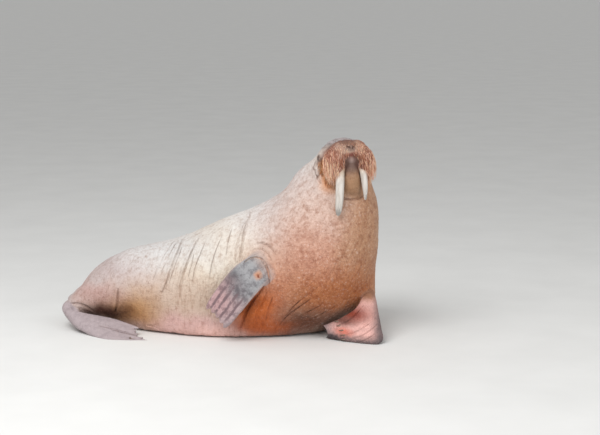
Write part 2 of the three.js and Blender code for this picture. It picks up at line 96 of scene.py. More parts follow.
DIGITS = 5
CLAW_AT = 0.86  # how far along a digit its claw stands
CLAW_RADIUS = 6
CLAW_LINE = ((-8, -5), (4, 3), (24, 1))  # millimetres ahead of its root and out of the skin
RIGHT_FORE = {
    "line": [(330, -390, 510), (222, -490, 498), (104, -528, 410),
             (10, -538, 297), (-62, -532, 200), (-100, -522, 148)],
    "across": [(0.45, -0.5, -0.75), (0.6, -0.35, -0.7), (0.7, -0.2, -0.68), (0.72, -0.15, -0.66)],
    "width": [92, 100, 114, 113, 106, 94],
    "thick": (44, 14),
    "webs": 0.07,
    "grooves": 0.36,
    "lengths": [0.97, 0.93, 0.94, 0.97, 1],
}
LEFT_FORE = {
    "line": [(850, -270, 270), (895, -350, 222), (918, -450, 158),
             (884, -512, 112), (758, -488, 76), (606, -395, 40)],
    "across": [(0.8, 0.1, -0.2), (0.1, 0.5, 0.8), (-0.45, 0.45, 0.78), (-0.4, 0.42, 0.85), (-0.15, 0.5, 0.7)],
    "width": [80, 90, 160, 146, 92, 46],
    "thick": (50, 14),
    "webs": 0,
    "grooves": 0.05,
    "lengths": [1, 0.97, 0.97, 0.98, 1],
}
RIGHT_HIND = {
    "line": [(-960, -20, 130), (-1070, -80, 105), (-1050, -185, 80), (-935, -275, 56),
             (-780, -345, 38), (-640, -385, 24), (-515, -400, 14)],
    "across": [(0.2, 0.9, 0.4), (-0.6, 0.6, 0.5), (-0.4, 0.75, 0.5), (0.25, 0.87, 0.42), (0, 0.96, 0.3)],
    "width": [80, 98, 118, 124, 112, 88, 70],
    "thick": (55, 12),
    "webs": 0.05,
    "grooves": 0.16,
    "lengths": [1, 0.95, 0.89, 0.86, 0.88],
}
BODY_MIDDLE = 60  # y of the middle of the hips
LEFT_HIND = dict(
    RIGHT_HIND,
    line=[(x, 2 * BODY_MIDDLE - y, z) for x, y, z in RIGHT_HIND["line"]],
    across=[(-x, y, -z) for x, y, z in RIGHT_HIND["across"]],
    lengths=RIGHT_HIND["lengths"][::-1],
)
FLIPPERS = {
    "fore_right": RIGHT_FORE,
    "fore_left": LEFT_FORE,
    "hind_right": RIGHT_HIND,
    "hind_left": LEFT_HIND,
}


def smooth_step(low, high, value):
    share = np.clip((value - low) / (high - low), 0, 1)
    return share * share * (3 - 2 * share)


def camera():
    """The camera at the picture's viewing angle and framing."""
    lens = bpy.data.cameras.new("view")
    lens.sensor_width = SENSOR_WIDTH
    lens.lens = PHOTO_FOCUS / PHOTO_WIDTH * SENSOR_WIDTH
    lens.clip_end = SIGHT_END
    made = bpy.data.objects.new("view", lens)
    made.location = CAMERA_PLACE
    made.rotation_euler = CAMERA_TURN
    bpy.context.collection.objects.link(made)
    bpy.context.scene.camera = made


def sight(pixel):
    """The way from the camera through a point of the picture."""
    across = pixel[0] - PHOTO_WIDTH / 2
    up = PHOTO_HEIGHT / 2 - pixel[1]
    return (CAMERA_TURN.to_matrix() @ Vector((across, up, -PHOTO_FOCUS))).normalized()


def head_frame():
    turn = Matrix.Rotation(math.radians(HEAD_YAW - 90), 4, "Z")
    turn = turn @ Matrix.Rotation(math.radians(-HEAD_LIFT), 4, "Y")
    turn = turn @ Matrix.Rotation(math.radians(HEAD_ROLL), 4, "X")
    return Matrix.Translation(Vector(HEAD_PLACE) * MM) @ turn @ Matrix.Scale(MM, 4)


HEAD = head_frame()
HEAD_INSIDE = np.array(HEAD.inverted())


def on_head(x, y, z):
    return HEAD @ Vector((x, y, z))


def head_way(x, y, z):
    return (HEAD.to_3x3() @ Vector((x, y, z))).normalized()


def in_head(points):
    """Points in the head's own frame, in millimetres."""
    return points @ HEAD_INSIDE[:3, :3].T + HEAD_INSIDE[:3, 3]


def new_object(name, bm):
    """A smooth-shaded object at the origin from a bmesh, which it uses up."""
    mesh = bpy.data.meshes.new(name)
    bm.to_mesh(mesh)
    bm.free()
    mesh.polygons.foreach_set("use_smooth", [True] * len(mesh.polygons))
    made = bpy.data.objects.new(name, mesh)
    bpy.context.collection.objects.link(made)
    return made


def applied(made, name, kind, **settings):
    """The object's mesh after a modifier with these settings, put in its place."""
    step = made.modifiers.new(name, kind)
    for key, value in settings.items():
        setattr(step, key, value)
    done = bpy.data.meshes.new_from_object(made.evaluated_get(bpy.context.evaluated_depsgraph_get()))
    made.modifiers.clear()
    made.data = done


# Curves and flippers, as the solids have them

def curve_at(points, shares):
    """Places along a smooth curve through points, for shares of its knots from 0 to 1."""
    knots = np.array(points, float)
    spans = len(knots) - 1
    padded = np.vstack([2 * knots[0] - knots[1], knots, 2 * knots[-1] - knots[-2]])
    first = np.clip((shares * spans).astype(int), 0, spans - 1)
    rest = (shares * spans - first)[:, None]
    a, b, c, d = (padded[first + k] for k in range(4))
    ab, bc, cd = (np.sqrt(np.linalg.norm(q - p, axis=1))[:, None] for p, q in ((a, b), (b, c), (c, d)))
    start = ((b - a) / ab - (c - a) / (ab + bc) + (c - b) / bc) * bc
    end = ((c - b) / bc - (d - b) / (bc + cd) + (d - c) / cd) * bc
    square = -3 * b + 3 * c - 2 * start - end
    cube = 2 * b - 2 * c + start + end
    return b + start * rest + square * rest ** 2 + cube * rest ** 3


def unit(ways):
    return ways / np.linalg.norm(ways, axis=1)[:, None]


def on_digit_at(across):
    """1 along the middle of a digit, 0 in the web between two."""
    return np.abs(np.sin((across + 1) / 2 * DIGITS * math.pi)) ** 1.3


def place_on(shape, across, reach):
    """Middle, outward way, way ahead and half thickness at places on a flipper, in millimetres."""
    place = (across + 1) / 2 * (DIGITS - 1)
    digit = np.clip(np.floor(place).astype(int), 0, DIGITS - 2)
    lengths = np.array(shape["lengths"])
    length = lengths[digit] + (lengths[digit + 1] - lengths[digit]) * smooth_step(0, 1, place - digit)
    on_digit = on_digit_at(across)
    reach = reach * (1 - (1 - length + shape["webs"] * (1 - on_digit)) * reach ** 1.5)
    side = unit(curve_at(shape["across"], reach))
    step = 0.002
    ahead = unit(curve_at(shape["line"], np.minimum(reach + step, 1)) - curve_at(shape["line"], reach - step))
    out = unit(np.cross(side, ahead))
    wide = np.interp(reach * (len(shape["width"]) - 1), range(len(shape["width"])), shape["width"])
    middle = curve_at(shape["line"], reach) + side * (across * wide)[:, None]
    rounding = 0.18 + 0.82 * np.sqrt(np.maximum(1 - np.abs(across) ** 3, 0))
    ridge = 1 - shape["grooves"] * smooth_step(0.35, 0.8, reach) * (1 - on_digit)
    root, tip = shape["thick"]
    half = (root + (tip - root) * smooth_step(0, 1, reach)) * rounding * ridge
    return middle, out, ahead, half


def flipper(shape):
    """A closed flipper, with its places across and along as arrays beside its points."""
    bm = bmesh.new()
    bmesh.ops.create_cube(bm, size=2)
    for axis, cuts in ((0, 59), (1, 49)):
        edges = [e for e in bm.edges if abs((e.verts[0].co - e.verts[1].co)[axis]) > 1]
        bmesh.ops.subdivide_edges(bm, edges=edges, cuts=cuts, use_grid_fill=True)
    grid = np.array([v.co for v in bm.verts])
    across = grid[:, 0]
    reach = (grid[:, 1] + 1) / 2
    middle, out, _, half = place_on(shape, across, reach)
    lift = np.where(grid[:, 2] > 0, half, -0.7 * half)
    points = (middle + out * lift[:, None]) * MM
    for vertex, point in zip(bm.verts, points):
        vertex.co = point
    bmesh.ops.recalc_face_normals(bm, faces=bm.faces)
    return bm, points, across, reach


# Skin: one surface over the trunk, neck, head, jaw, whisker pads, tail and flippers

FLESH = ("rump", "belly", "chest", "neck", "head", "tail", "lower_jaw",
         "whisker_pad_right", "whisker_pad_left",
         "flipper_fore_right", "flipper_fore_left", "flipper_hind_right", "flipper_hind_left")
COPIED = ("rump", "belly", "chest", "neck", "head", "tail", "lower_jaw")


def add_ball(bm, centre, radii, frame_matrix=HEAD):
    """A ball of flesh, with its middle and radii in millimetres of a frame."""
    pose = Matrix.Translation(Vector(centre)) @ Matrix.Diagonal((*radii, 1))
    bmesh.ops.create_icosphere(bm, subdivisions=4, radius=1, matrix=frame_matrix @ pose)


PAD_BALLS = (
    ((138, 50, 16), (90, 72, 76)),
    ((130, 78, -18), (86, 66, 88)),
    ((116, 100, -50), (78, 68, 102)),
)
JAW_BALLS = (
    ((126, 0, -32), (78, 66, 74)),
    ((70, 0, -116), (100, 84, 78)),
    ((62, 0, -184), (86, 72, 76)),
)
ARMPIT_FOLD = {"place": (0.15, -0.425, 0.19), "radii": (52, 62, 125), "lean": 25}


def eye_of(side):
    """The middle and radius of an eyeball, and the way that it looks, in metres."""
    low, high = (np.array(corner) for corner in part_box(f"eye_{side}"))
    way = head_way(EYE_WAY[0], SIDES[side] * EYE_WAY[1], EYE_WAY[2])
    return Vector((low + high) / 2), float((high - low).min()) / 2, way


def raw_skin():
    """The flesh as one closed surface of even small faces."""
    bm = bmesh.new()
    for name in COPIED:
        bm.from_mesh(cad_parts[name].data)
    bmesh.ops.remove_doubles(bm, verts=bm.verts, dist=0.01 * MM)
    for side in SIDES.values():
        for (x, y, z), radii in PAD_BALLS:
            add_ball(bm, (x, side * y, z), radii)
    for side in SIDES:
        middle, radius, _ = eye_of(side)
        bmesh.ops.create_icosphere(
            bm, subdivisions=4, radius=radius + LID_THICKNESS, matrix=Matrix.Translation(middle))
    lean = Matrix.Rotation(math.radians(ARMPIT_FOLD["lean"]), 4, "Y")
    fold = Matrix.Translation(ARMPIT_FOLD["place"]) @ lean @ Matrix.Scale(MM, 4)
    add_ball(bm, (0, 0, 0), ARMPIT_FOLD["radii"], fold)
    skin = new_object("skin", bm)
    cloud = []
    for name, shape in FLIPPERS.items():
        part, points, across, reach = flipper(shape)
        made = new_object(name, part)
        cloud.append((points, across, reach))
        joined = bmesh.new()
        joined.from_mesh(skin.data)
        joined.from_mesh(made.data)
        joined.to_mesh(skin.data)
        joined.free()
        bpy.data.objects.remove(made)
    applied(skin, "one surface", "REMESH", mode="VOXEL", voxel_size=VOXEL, use_smooth_shade=True)
    return skin, [np.concatenate(column) for column in zip(*cloud)]


class Hide:
    """The skin while it is shaped: its points, outward ways and edges as arrays."""

    def __init__(self, mesh):
        self.mesh = mesh
        count = len(mesh.vertices)
        self.points = np.empty(count * 3)
        mesh.vertices.foreach_get("co", self.points)
        self.points = self.points.reshape(-1, 3)
        ends = np.empty(len(mesh.edges) * 2, np.int32)
        mesh.edges.foreach_get("vertices", ends)
        self.ends = ends.reshape(-1, 2)
        self.read_ways()

    def read_ways(self):
        ways = np.empty(len(self.points) * 3)
        self.mesh.vertex_normals.foreach_get("vector", ways)
        self.outward = ways.reshape(-1, 3)

    def write(self):
        self.points[:, 2] = np.maximum(self.points[:, 2], 0)
        self.mesh.vertices.foreach_set("co", self.points.ravel())
        self.mesh.update()
        self.read_ways()

    def mean_of_neighbours(self, values):
        a, b = self.ends.T
        count = len(self.points)
        share = np.bincount(a, minlength=count) + np.bincount(b, minlength=count)
        total = [
            np.bincount(a, values[b, k], count) + np.bincount(b, values[a, k], count)
            for k in range(values.shape[1])
        ]
        return np.stack(total, axis=1) / share[:, None]

    def even(self, strength, rounds):
        """Move each point towards the middle of its neighbours, by its own strength."""
        for _ in range(rounds):
            self.points += strength[:, None] * (self.mean_of_neighbours(self.points) - self.points)
        self.write()

    def push(self, amount):
        """Move each point along its outward way."""
        self.points += self.outward * amount[:, None]
        self.write()

    def surface(self):
        faces = np.empty(len(self.mesh.loops), np.int32)
        self.mesh.loops.foreach_get("vertex_index", faces)
        starts = np.empty(len(self.mesh.polygons), np.int32)
        self.mesh.polygons.foreach_get("loop_start", starts)
        corners = np.split(faces, starts[1:])
        return bvhtree.BVHTree.FromPolygons(self.points.tolist(), [c.tolist() for c in corners])


def nearest_on(cloud, points):
    """For each point its distance from the nearest of a cloud of points, and which that is."""
    tree = kdtree.KDTree(len(cloud))
    for i, place in enumerate(cloud):
        tree.insert(place, i)
    tree.balance()
    found = [tree.find(point)[1:] for point in points]
    return np.array([f[1] for f in found]), np.array([f[0] for f in found])


skin, flipper_cloud = raw_skin()
hide = Hide(skin.data)
from_flipper, which = nearest_on(flipper_cloud[0], hide.points)
flipper_share = 1 - smooth_step(*FLIPPER_REACH, from_flipper)
flipper_share *= smooth_step(0.12, 0.42, flipper_cloud[2][which])
head_share = 1 - smooth_step(*HEAD_REACH, np.linalg.norm(in_head(hide.points), axis=1) * MM)
rounds = FACET_EVENING + (HEAD_EVENING - FACET_EVENING) * head_share
rounds = rounds + (FLIPPER_EVENING - rounds) * flipper_share
hide.even(0.5 * rounds / FACET_EVENING, FACET_EVENING)

# Places of the picture on the skin

NEARING = 12  # steps to the point of the skin that is nearest to a line of sight
surface = hide.surface()


def on_skin(pixel):
    """The point of the skin that shows at a pixel of the picture, or that is nearest to it."""
    way = sight(pixel)
    place = surface.ray_cast(CAMERA_PLACE, way)[0]
    if place is None:
        reach = -CAMERA_PLACE.y
        for _ in range(NEARING):
            place = surface.find_nearest(CAMERA_PLACE + way * reach)[0]
            reach = (place - CAMERA_PLACE).dot(way)
    return place


# Creases: lines pressed into the skin with a roll of flesh beside them. Each has its path, and its
# depth, width and roll in millimetres. The flank's follow the picture, by its pixels.

FLANK_CREASES = (
    (((199.5, 236), (197, 241), (191, 253), (186, 266), (182, 279), (180, 292), (180, 300)), 13, 8, 8),
    (((184, 237), (182, 241), (178, 251), (171, 268), (165, 286), (161, 294)), 12, 9, 6),
    (((181, 238), (177, 242), (168, 257), (160, 275)), 6, 6, 3),
    (((176, 239), (168, 249), (158, 266), (153, 280)), 5, 6, 2),
    (((206, 240), (201, 252), (195, 268), (192, 284)), 4, 6, 2),
    (((222, 236), (216, 250), (211, 268), (209, 280)), 3, 6, 2),
    (((252, 211), (250, 215), (244, 232), (242, 246), (239.5, 262)), 12, 8, 7),
    (((246, 221), (241, 232), (236, 248), (235, 262)), 8, 7, 4),
    (((232, 228), (228, 242), (226, 256)), 4, 6, 2),
    (((118, 288), (117.5, 296), (117, 304), (115, 312), (112, 319)), 14, 9, 3),
    (((146, 325), (153, 326.5), (160, 330)), 4, 6, 3),
    (((186, 236), (181, 250), (174, 268), (169, 284)), 4, 5, 2),
    (((196, 246), (192, 262), (188, 278)), 4, 5, 2),
)
NEAR_CREASES = (
    (((243, 264), (248, 259), (256, 257), (262, 259), (266, 264)), 11, 7, 3),
    (((264, 262), (267, 268), (269, 275), (269.5, 284)), 13, 8, 3),
    (((256, 243), (262, 243), (270, 247), (276, 255)), 6, 9, 5),
    (((252, 249), (261, 249), (268, 254), (273, 262)), 4, 8, 3),
    (((264, 286), (257, 295), (249, 306), (243, 319), (239, 330)), 13, 9, 4),
    (((267, 292), (262, 303), (257, 314), (256, 325)), 7, 7, 4),
    (((273, 296), (269, 308), (266, 320)), 5, 7, 3),
    (((278, 327), (288, 315), (299, 307), (312, 298)), 7, 8, 5),
    (((291, 326), (306, 313), (323, 304)), 6, 8, 5),
    (((282, 320), (295, 305), (308, 294)), 5, 7, 4),
    (((300, 327), (318, 316), (338, 304)), 6, 8, 4),
    (((338, 195), (345, 198.5), (353, 199.5), (361, 197.5), (366, 192)), 8, 9, 4),
    (((315.5, 160), (314.5, 167), (317, 176), (321, 184)), 10, 7, 6),
    (((70, 303), (77, 303.5), (85, 306), (94, 311)), 11, 8, 2),
    (((98, 325.5), (110, 328), (122, 330.8), (134, 333.4), (142, 336)), 6, 9, 2),
    (((110, 329), (121, 331.8), (132, 334.6), (143, 337.6)), 5, 9, 0),
    (((345, 335), (355, 332), (366, 326), (376, 318)), 4, 5, 2),
    (((352, 339), (362, 335.5), (372, 329), (379, 322)), 4, 5, 2),
    (((358, 342.5), (367, 339), (376, 333)), 4, 5, 2),
    (((336, 326), (346, 322), (356, 314), (364, 305)), 6, 6, 3),
)
# On the left side of the head, in its own millimetres; each has its mirror image on the right.
HEAD_CREASES = (
    (((227, 6, 16), (228, 15, 30), (220, 26, 36), (206, 33, 30)), 12, 5, 3),
    (((70, 120, 84), (20, 140, 96), (-30, 140, 92), (-70, 132, 80)), 6, 8, 4),
    (((60, 90, 110), (10, 100, 125), (-50, 96, 128)), 5, 8, 3),
    (((60, 150, 10), (40, 160, -40), (10, 160, -90), (-30, 150, -130)), 10, 9, 6),
    (((-10, 165, 10), (-30, 165, -30), (-50, 160, -70)), 6, 8, 4),
    (((82, 100, 100), (100, 118, 60), (96, 140, 20)), 7, 8, 4),
)
NECK_CREASES = ((1.02, 9), (0.93, 11), (0.84, 9), (0.75, 6))  # height in metres and depth
NECK_MIDDLE = (0.62, -0.19)
CALLUS_PIXEL = (258, 275)
CALLUS_RADIUS = 20 * MM


def from_path(points, outward, path, reach):
    """The points within reach of a path: which, how far, at what share of it and on which side."""
    low = path.min(axis=0) - reach
    high = path.max(axis=0) + reach
    which = np.nonzero(((points > low) & (points < high)).all(axis=1))[0]
    near = points[which]
    far = np.full(len(which), np.inf)
    share = np.zeros(len(which))
    side = np.zeros(len(which))
    for i, (a, b) in enumerate(zip(path, path[1:])):
        run = b - a
        t = np.clip((near - a) @ run / (run @ run), 0, 1)
        away = near - a - t[:, None] * run
        distance = np.linalg.norm(away, axis=1)
        closer = distance < far
        far[closer] = distance[closer]
        share[closer] = (i + t[closer]) / (len(path) - 1)
        turned = np.einsum("ij,ij->i", np.cross(run, outward[which]), away)
        side[closer] = np.sign(turned[closer])
    inside = far < reach
    return which[inside], far[inside], share[inside], side[inside]


def bell(distance, width):
    return np.exp(-(distance / width) ** 2)


def line_through(places):
    """A smooth line over the skin through its points that are nearest to places."""
    found = [surface.find_nearest(Vector(place))[0] for place in places if place is not None]
    return curve_at(found, np.linspace(0, 1, 8 * len(found)))


def far_side(place):
    """The point of the far flank that mirrors a place on the near one."""
    return surface.ray_cast(Vector((place[0], 2, place[2])), Vector((0, -1, 0)))[0]


def sided(places, side):
    return [on_head(x, side * y, z) for x, y, z in places]


def round_nape(height):
    ways = [Vector((math.cos(a), math.sin(a), 0.15)) for a in np.radians(np.linspace(20, 165, 9))]
    return [surface.ray_cast(Vector((*NECK_MIDDLE, height)) + way, -way)[0] for way in ways]


def all_creases():
    """Each crease's line, and its depth, width and roll."""
    for pixels, *sizes in FLANK_CREASES + NEAR_CREASES:
        yield line_through([on_skin(p) for p in pixels]), *sizes
    for pixels, *sizes in FLANK_CREASES:
        yield line_through([far_side(on_skin(p)) for p in pixels]), *sizes
    for places, *sizes in HEAD_CREASES:
        for side in SIDES.values():
            yield line_through(sided(places, side)), *sizes
    for height, depth in NECK_CREASES:
        yield line_through(round_nape(height)), depth, 14, 9


def fading(share):
    """1 along the middle of a crease, to 0 at its ends."""
    return np.sqrt(np.clip(4 * share * (1 - share), 0, 1))


def press(line, depth, width, roll):
    which, far, share, side = from_path(hide.points, hide.outward, line, 4 * width * MM)
    rolls = bell(far / MM - 1.8 * width, width) * np.where(side > 0, 1, 0.4)
    amount = np.zeros(len(hide.points))
    amount[which] = fading(share) * MM * (roll * rolls - depth * bell(far / MM, 0.7 * width))
    hide.push(amount)


def ball_depth(points, centre, radii):
    """Roughly how far points are outside a stretched ball, negative inside it."""
    away = (points - centre) / radii
    shares = np.linalg.norm(away, axis=1)
    return shares * (shares - 1) / np.maximum(np.linalg.norm(away / radii, axis=1), 1e-9)


def outside(points, balls, side=1):
    return np.min([ball_depth(points, (x, side * y, z), radii) for (x, y, z), radii in balls], axis=0)


def meeting(a, b, width):
    """1 where two forms of flesh meet, fading over a width in millimetres."""
    return np.exp(-(np.maximum(np.abs(a), np.abs(b)) / width) ** 2)


def mouth_lines(points):
    """How deep the line of the mouth and the groove between the pads are, from 0 to 1."""
    local = in_head(points)
    right, left = (outside(local, PAD_BALLS, side) for side in (-1, 1))
    jaw = outside(local, JAW_BALLS)
    mouth = np.maximum(meeting(right, jaw, 13), meeting(left, jaw, 13))
    groove = meeting(right, left, 12) * smooth_step(-90, -40, local[:, 2])
    return mouth, groove * (local[:, 0] > 100)


LID_OPENING = (16, 9)  # half the length and height of the opening between the lids
EYEBALL_SHOWS = 3  # depth that the skin is pushed under the eyeball's surface


def open_lids(side):
    """Push the skin under the eyeball inside the almond between the lids, with folds round it."""
    middle, radius, way = eye_of(side)
    along = head_way(1, 0, 0.15)
    along = (along - way * along.dot(way)).normalized()
    up = way.cross(along) * (1 if side == "left" else -1)
    away = (hide.points - np.array(middle)) / MM
    a, b, c = (away @ np.array(v) for v in (along, up, way))
    distance = np.linalg.norm(away, axis=1)
    wide, high = LID_OPENING
    almond = high * np.clip(1 - (a / wide) ** 2, 0, 1) * np.where(b > 0, 1, 0.8) - np.abs(b)
    front = (c > 0) & (distance < 40) & (np.abs(a) < wide)
    opened = smooth_step(-0.8, 0.8, almond) * front
    lid = radius / MM + LID_THICKNESS / MM
    reach = distance + opened * (radius / MM - EYEBALL_SHOWS - distance)
    fold = 2.0 * bell(distance - lid - 4, 2.5) - 2.5 * bell(distance - lid - 9, 3)
    reach = reach + np.where(c > 0, fold, 0) * (1 - opened)
    hide.points = np.array(middle) + away * (reach / np.maximum(distance, 1e-6))[:, None] * MM
    hide.write()


def noise_at(points, scale, seed):
    return np.array([noise.noise(Vector(p)) for p in points * scale + seed])


def ridged(points, scale, seed):
    """Lines where a noise is near nothing, from 0 to 1."""
    return np.maximum(1 - 4 * np.abs(noise_at(points, np.array(scale), seed)), 0)


def weather():
    """Soft swells of blubber, and fine wrinkles: upright on the flanks, loose on the neck."""
    body = (1 - head_near(hide.points)) * (1 - near_flipper(hide.points))
    leaning = hide.points.copy()
    leaning[:, 0] -= 0.4 * leaning[:, 2]
    height = hide.points[:, 2]
    trunk = smooth_step(-1.0, -0.8, hide.points[:, 0]) * (1 - 0.7 * smooth_step(0.45, 0.75, height))
    upright = ridged(leaning, (26, 7, 2.4), 11) + 0.5 * ridged(leaning, (56, 14, 5), 29)
    loose = ridged(hide.points, (22, 22, 34), 41) * smooth_step(0.4, 0.8, height)
    amount = 5 * noise_at(hide.points, np.array((4, 4, 5)), 3) - 2.6 * upright * trunk - 2.2 * loose
    hide.push(MM * amount * body)


def head_near(points):
    return 1 - smooth_step(*HEAD_NEAR, np.linalg.norm(in_head(points), axis=1) * MM)


def near_flipper(points):
    distance, which = nearest_on(flipper_cloud[0], points)
    return (1 - smooth_step(*FLIPPER_REACH, distance)) * smooth_step(0.1, 0.3, flipper_cloud[2][which])


def refine(chosen):
    """Split the edges of the skin that have both ends among the chosen points."""
    bm = bmesh.new()
    bm.from_mesh(skin.data)
    edges = [e for e in bm.edges if chosen[e.verts[0].index] and chosen[e.verts[1].index]]
    bmesh.ops.subdivide_edges(bm, edges=edges, cuts=1, use_grid_fill=True)
    bm.to_mesh(skin.data)
    bm.free()
    return Hide(skin.data)


def within(places, reach):
    """Which points of the skin are within reach of any of some places."""
    chosen = np.zeros(len(hide.points), bool)
    for place in places:
        chosen |= np.linalg.norm(hide.points - np.array(place), axis=1) < reach
    return chosen


MUZZLE_REACH = 0.19
EYE_REACH = 0.045
DEEP = 9  # depth in millimetres from which a crease has finer faces
creases = list(all_creases())
chosen = within([on_head(150, 0, 0)], MUZZLE_REACH)
for line, depth, width, _ in creases:
    if depth >= DEEP:
        chosen[from_path(hide.points, hide.outward, line, 3 * width * MM)[0]] = True
hide = refine(chosen)
for _ in range(2):
    hide = refine(within([eye_of(side)[0] for side in SIDES], EYE_REACH))
for crease in creases:
    press(*crease)
mouth, groove = mouth_lines(hide.points)
hide.push(-MM * (11 * mouth + 8 * groove))
callus_place = np.array(on_skin(CALLUS_PIXEL))
from_callus = np.linalg.norm(hide.points - callus_place, axis=1) / CALLUS_RADIUS
hide.push(MM * (5 * bell(from_callus - 0.55, 0.25) - 3 * bell(from_callus, 0.2)))
weather()
for side in SIDES:
    open_lids(side)
triangles = sum(len(p.vertices) - 2 for p in skin.data.polygons)
applied(skin, "thinned", "DECIMATE", ratio=SKIN_TRIANGLES / triangles)
skin.data.polygons.foreach_set("use_smooth", [True] * len(skin.data.polygons))
hide = Hide(skin.data)

# What the colours need to know at each point of the skin


def write_reading(name, values, mesh=None):
    """Keep a number at each point of a mesh, for its finish to read."""
    layer = (mesh or skin.data).attributes.new(name, "FLOAT", "POINT")
    layer.data.foreach_set("value", np.asarray(values, np.float32))


LINE_SPAN = 12 * MM  # distance from a crease's line at which its side reads as 1 or -1


def read_crease_shade():
    """How strong the painted shade of the nearest crease is, and how far its line is on one side or the
    other.
    """
    strength = np.zeros(len(hide.points))
    beside = np.ones(len(hide.points))
    for line, depth, width, _ in creases:
        which, far, share, side = from_path(hide.points, hide.outward, line, 3 * width * MM)
        dark = (0.3 + 0.7 * min(depth / DEEP, 1)) * fading(share) * bell(far / MM, 0.8 * width)
        stronger = dark > strength[which]
        chosen = which[stronger]
        strength[chosen] = dark[stronger]
        beside[chosen] = (np.clip(far / LINE_SPAN, 0, 1) * side)[stronger]
    return strength, beside


def read_skin():
    mouth, groove = mouth_lines(hide.points)
    strength, beside = read_crease_shade()
    write_reading("crease", strength)
    write_reading("beside_crease", beside)
    # how deep the mouth's line and the pads' groove are, for their painted shade
    write_reading("mouth", np.maximum(mouth, 0.8 * groove))
    distance, which = nearest_on(flipper_cloud[0], hide.points)
    across = flipper_cloud[1][which]
    reach = flipper_cloud[2][which]
    write_reading("flipper", (1 - smooth_step(*BARE_REACH, distance)) * smooth_step(0.12, 0.3, reach))
    write_reading("web", (1 - on_digit_at(across)) * smooth_step(0.42, 0.62, reach))
    write_reading("rim", np.maximum(smooth_step(0.86, 0.99, np.abs(across)), smooth_step(0.93, 1, reach)))
    near_eye = [np.linalg.norm(hide.points - np.array(eye_of(side)[0]), axis=1) for side in SIDES]
    write_reading("eye_rim", 1 - smooth_step(*EYE_RIM, np.min(near_eye, axis=0)))


read_skin()
surface = hide.surface()


# Finishes: nodes written as sums

class Reading:
    """A value that changes over a surface. Sums on it add Math nodes."""

    def __init__(self, finish, socket):
        self.finish = finish
        self.socket = socket

    def math(self, operation, *values):
        return self.finish.node("ShaderNodeMath", {"operation": operation}, dict(enumerate(values)))

    def __add__(self, other):
        return self.math("ADD", self, other)

    def __sub__(self, other):
        return self.math("SUBTRACT", self, other)

    def __rsub__(self, other):
        return self.math("SUBTRACT", other, self)

    def __mul__(self, other):
        return self.math("MULTIPLY", self, other)

    __radd__ = __add__
    __rmul__ = __mul__

    def abs(self):
        return self.math("ABSOLUTE", self)

    def between(self, low, high):
        """0 below low, 1 above high, smooth in between; the other way round if high is lower."""
        flipped = high < low
        return self.finish.node(
            "ShaderNodeMapRange",
            {"interpolation_type": "SMOOTHSTEP"},
            {"Value": self, "From Min": min(low, high), "From Max": max(low, high),
             "To Min": 1.0 if flipped else 0.0, "To Max": 0.0 if flipped else 1.0})


def paint(red, green, blue):
    """A colour from its 0 to 255 values, as the shaders take it."""
    shares = (value / 255 for value in (red, green, blue))
    return tuple(v / 12.92 if v < 10 / 255 else ((v + 0.055) / 1.055) ** 2.4 for v in shares)


class Finish:
    """A material, its shader's constants and the nodes that vary it."""

    def __init__(self, name, **constants):
        self.material = bpy.data.materials.new(name)
        self.material.use_nodes = True
        self.tree = self.material.node_tree
        self.shader = self.tree.nodes["Principled BSDF"]
        for socket, value in constants.items():
            self.feed(self.shader.inputs[socket.replace("_", " ")], value)
        self.place = self.node("ShaderNodeTexCoord", {}, {}, "Object")

    def node(self, kind, settings, values, output=0):
        made = self.tree.nodes.new(kind)
        for key, value in settings.items():
            if key == "stops":
                self.set_stops(made.color_ramp, value)
            else:
                setattr(made, key, value)
        for key, value in values.items():
            self.feed(made.inputs[key], value)
        return Reading(self, made.outputs[output])

    def set_stops(self, ramp, stops):
        while len(ramp.elements) < len(stops):
            ramp.elements.new(0.5)
        for element, (position, colour) in zip(ramp.elements, stops):
            element.position = position
            element.color = (*colour, 1)

    def feed(self, socket, value):
        if isinstance(value, Reading):
            self.tree.links.new(value.socket, socket)
        elif isinstance(value, (tuple, Vector)) and socket.type == "RGBA":
            socket.default_value = (*value, 1)
        else:
            socket.default_value = value

    def vector(self, operation, a, b, output=0):
        values = {0: a} if b is None else {0: a, 1: b}
        return self.node("ShaderNodeVectorMath", {"operation": operation}, values, output)

    def stretched(self, scale):
        return self.vector("MULTIPLY", self.place, scale)

    def noise(self, scale, detail=3.0, roughness=0.55, place=None, output="Fac"):
        values = {"Vector": place or self.place, "Scale": scale, "Detail": detail, "Roughness": roughness}
        return self.node("ShaderNodeTexNoise", {}, values, output)

    def cells(self, scale, feature="DISTANCE_TO_EDGE", place=None):
        return self.node("ShaderNodeTexVoronoi", {"feature": feature},
                         {"Vector": place or self.place, "Scale": scale}, "Distance")

    def mix(self, a, b, share):
        return self.node("ShaderNodeMix", {"data_type": "RGBA"}, {0: share, 6: a, 7: b}, 2)

    def times(self, a, b, share):
        return self.node("ShaderNodeMix", {"data_type": "RGBA", "blend_type": "MULTIPLY"},
                         {0: share, 6: a, 7: b}, 2)

    def reading(self, name):
        return self.node("ShaderNodeAttribute", {"attribute_name": name}, {}, "Fac")

    def wavering(self, amount, scale):
        """The place, moved about by up to an amount, so that edges between colours wander."""
        colour = self.noise(scale, 2.0, output="Color")
        shift = self.vector("SUBTRACT", colour, (0.5, 0.5, 0.5))
        return self.vector("ADD", self.place, self.vector("MULTIPLY", shift, (amount, amount, amount)))

    def spot(self, middle, radii, soft, place):
        """1 inside an ellipsoid and 0 outside it, soft at its edge."""
        away = self.vector("DIVIDE", self.vector("SUBTRACT", place, tuple(middle)), tuple(radii))
        return self.vector("LENGTH", away, None, "Value").between(1 + soft, 1 - soft)

    def rough(self, height, distance):
        bump = self.node("ShaderNodeBump", {}, {"Strength": 1.0, "Distance": distance, "Height": height})
        self.feed(self.shader.inputs["Normal"], bump)

    def colour(self, value):
        self.feed(self.shader.inputs["Base Color"], value)
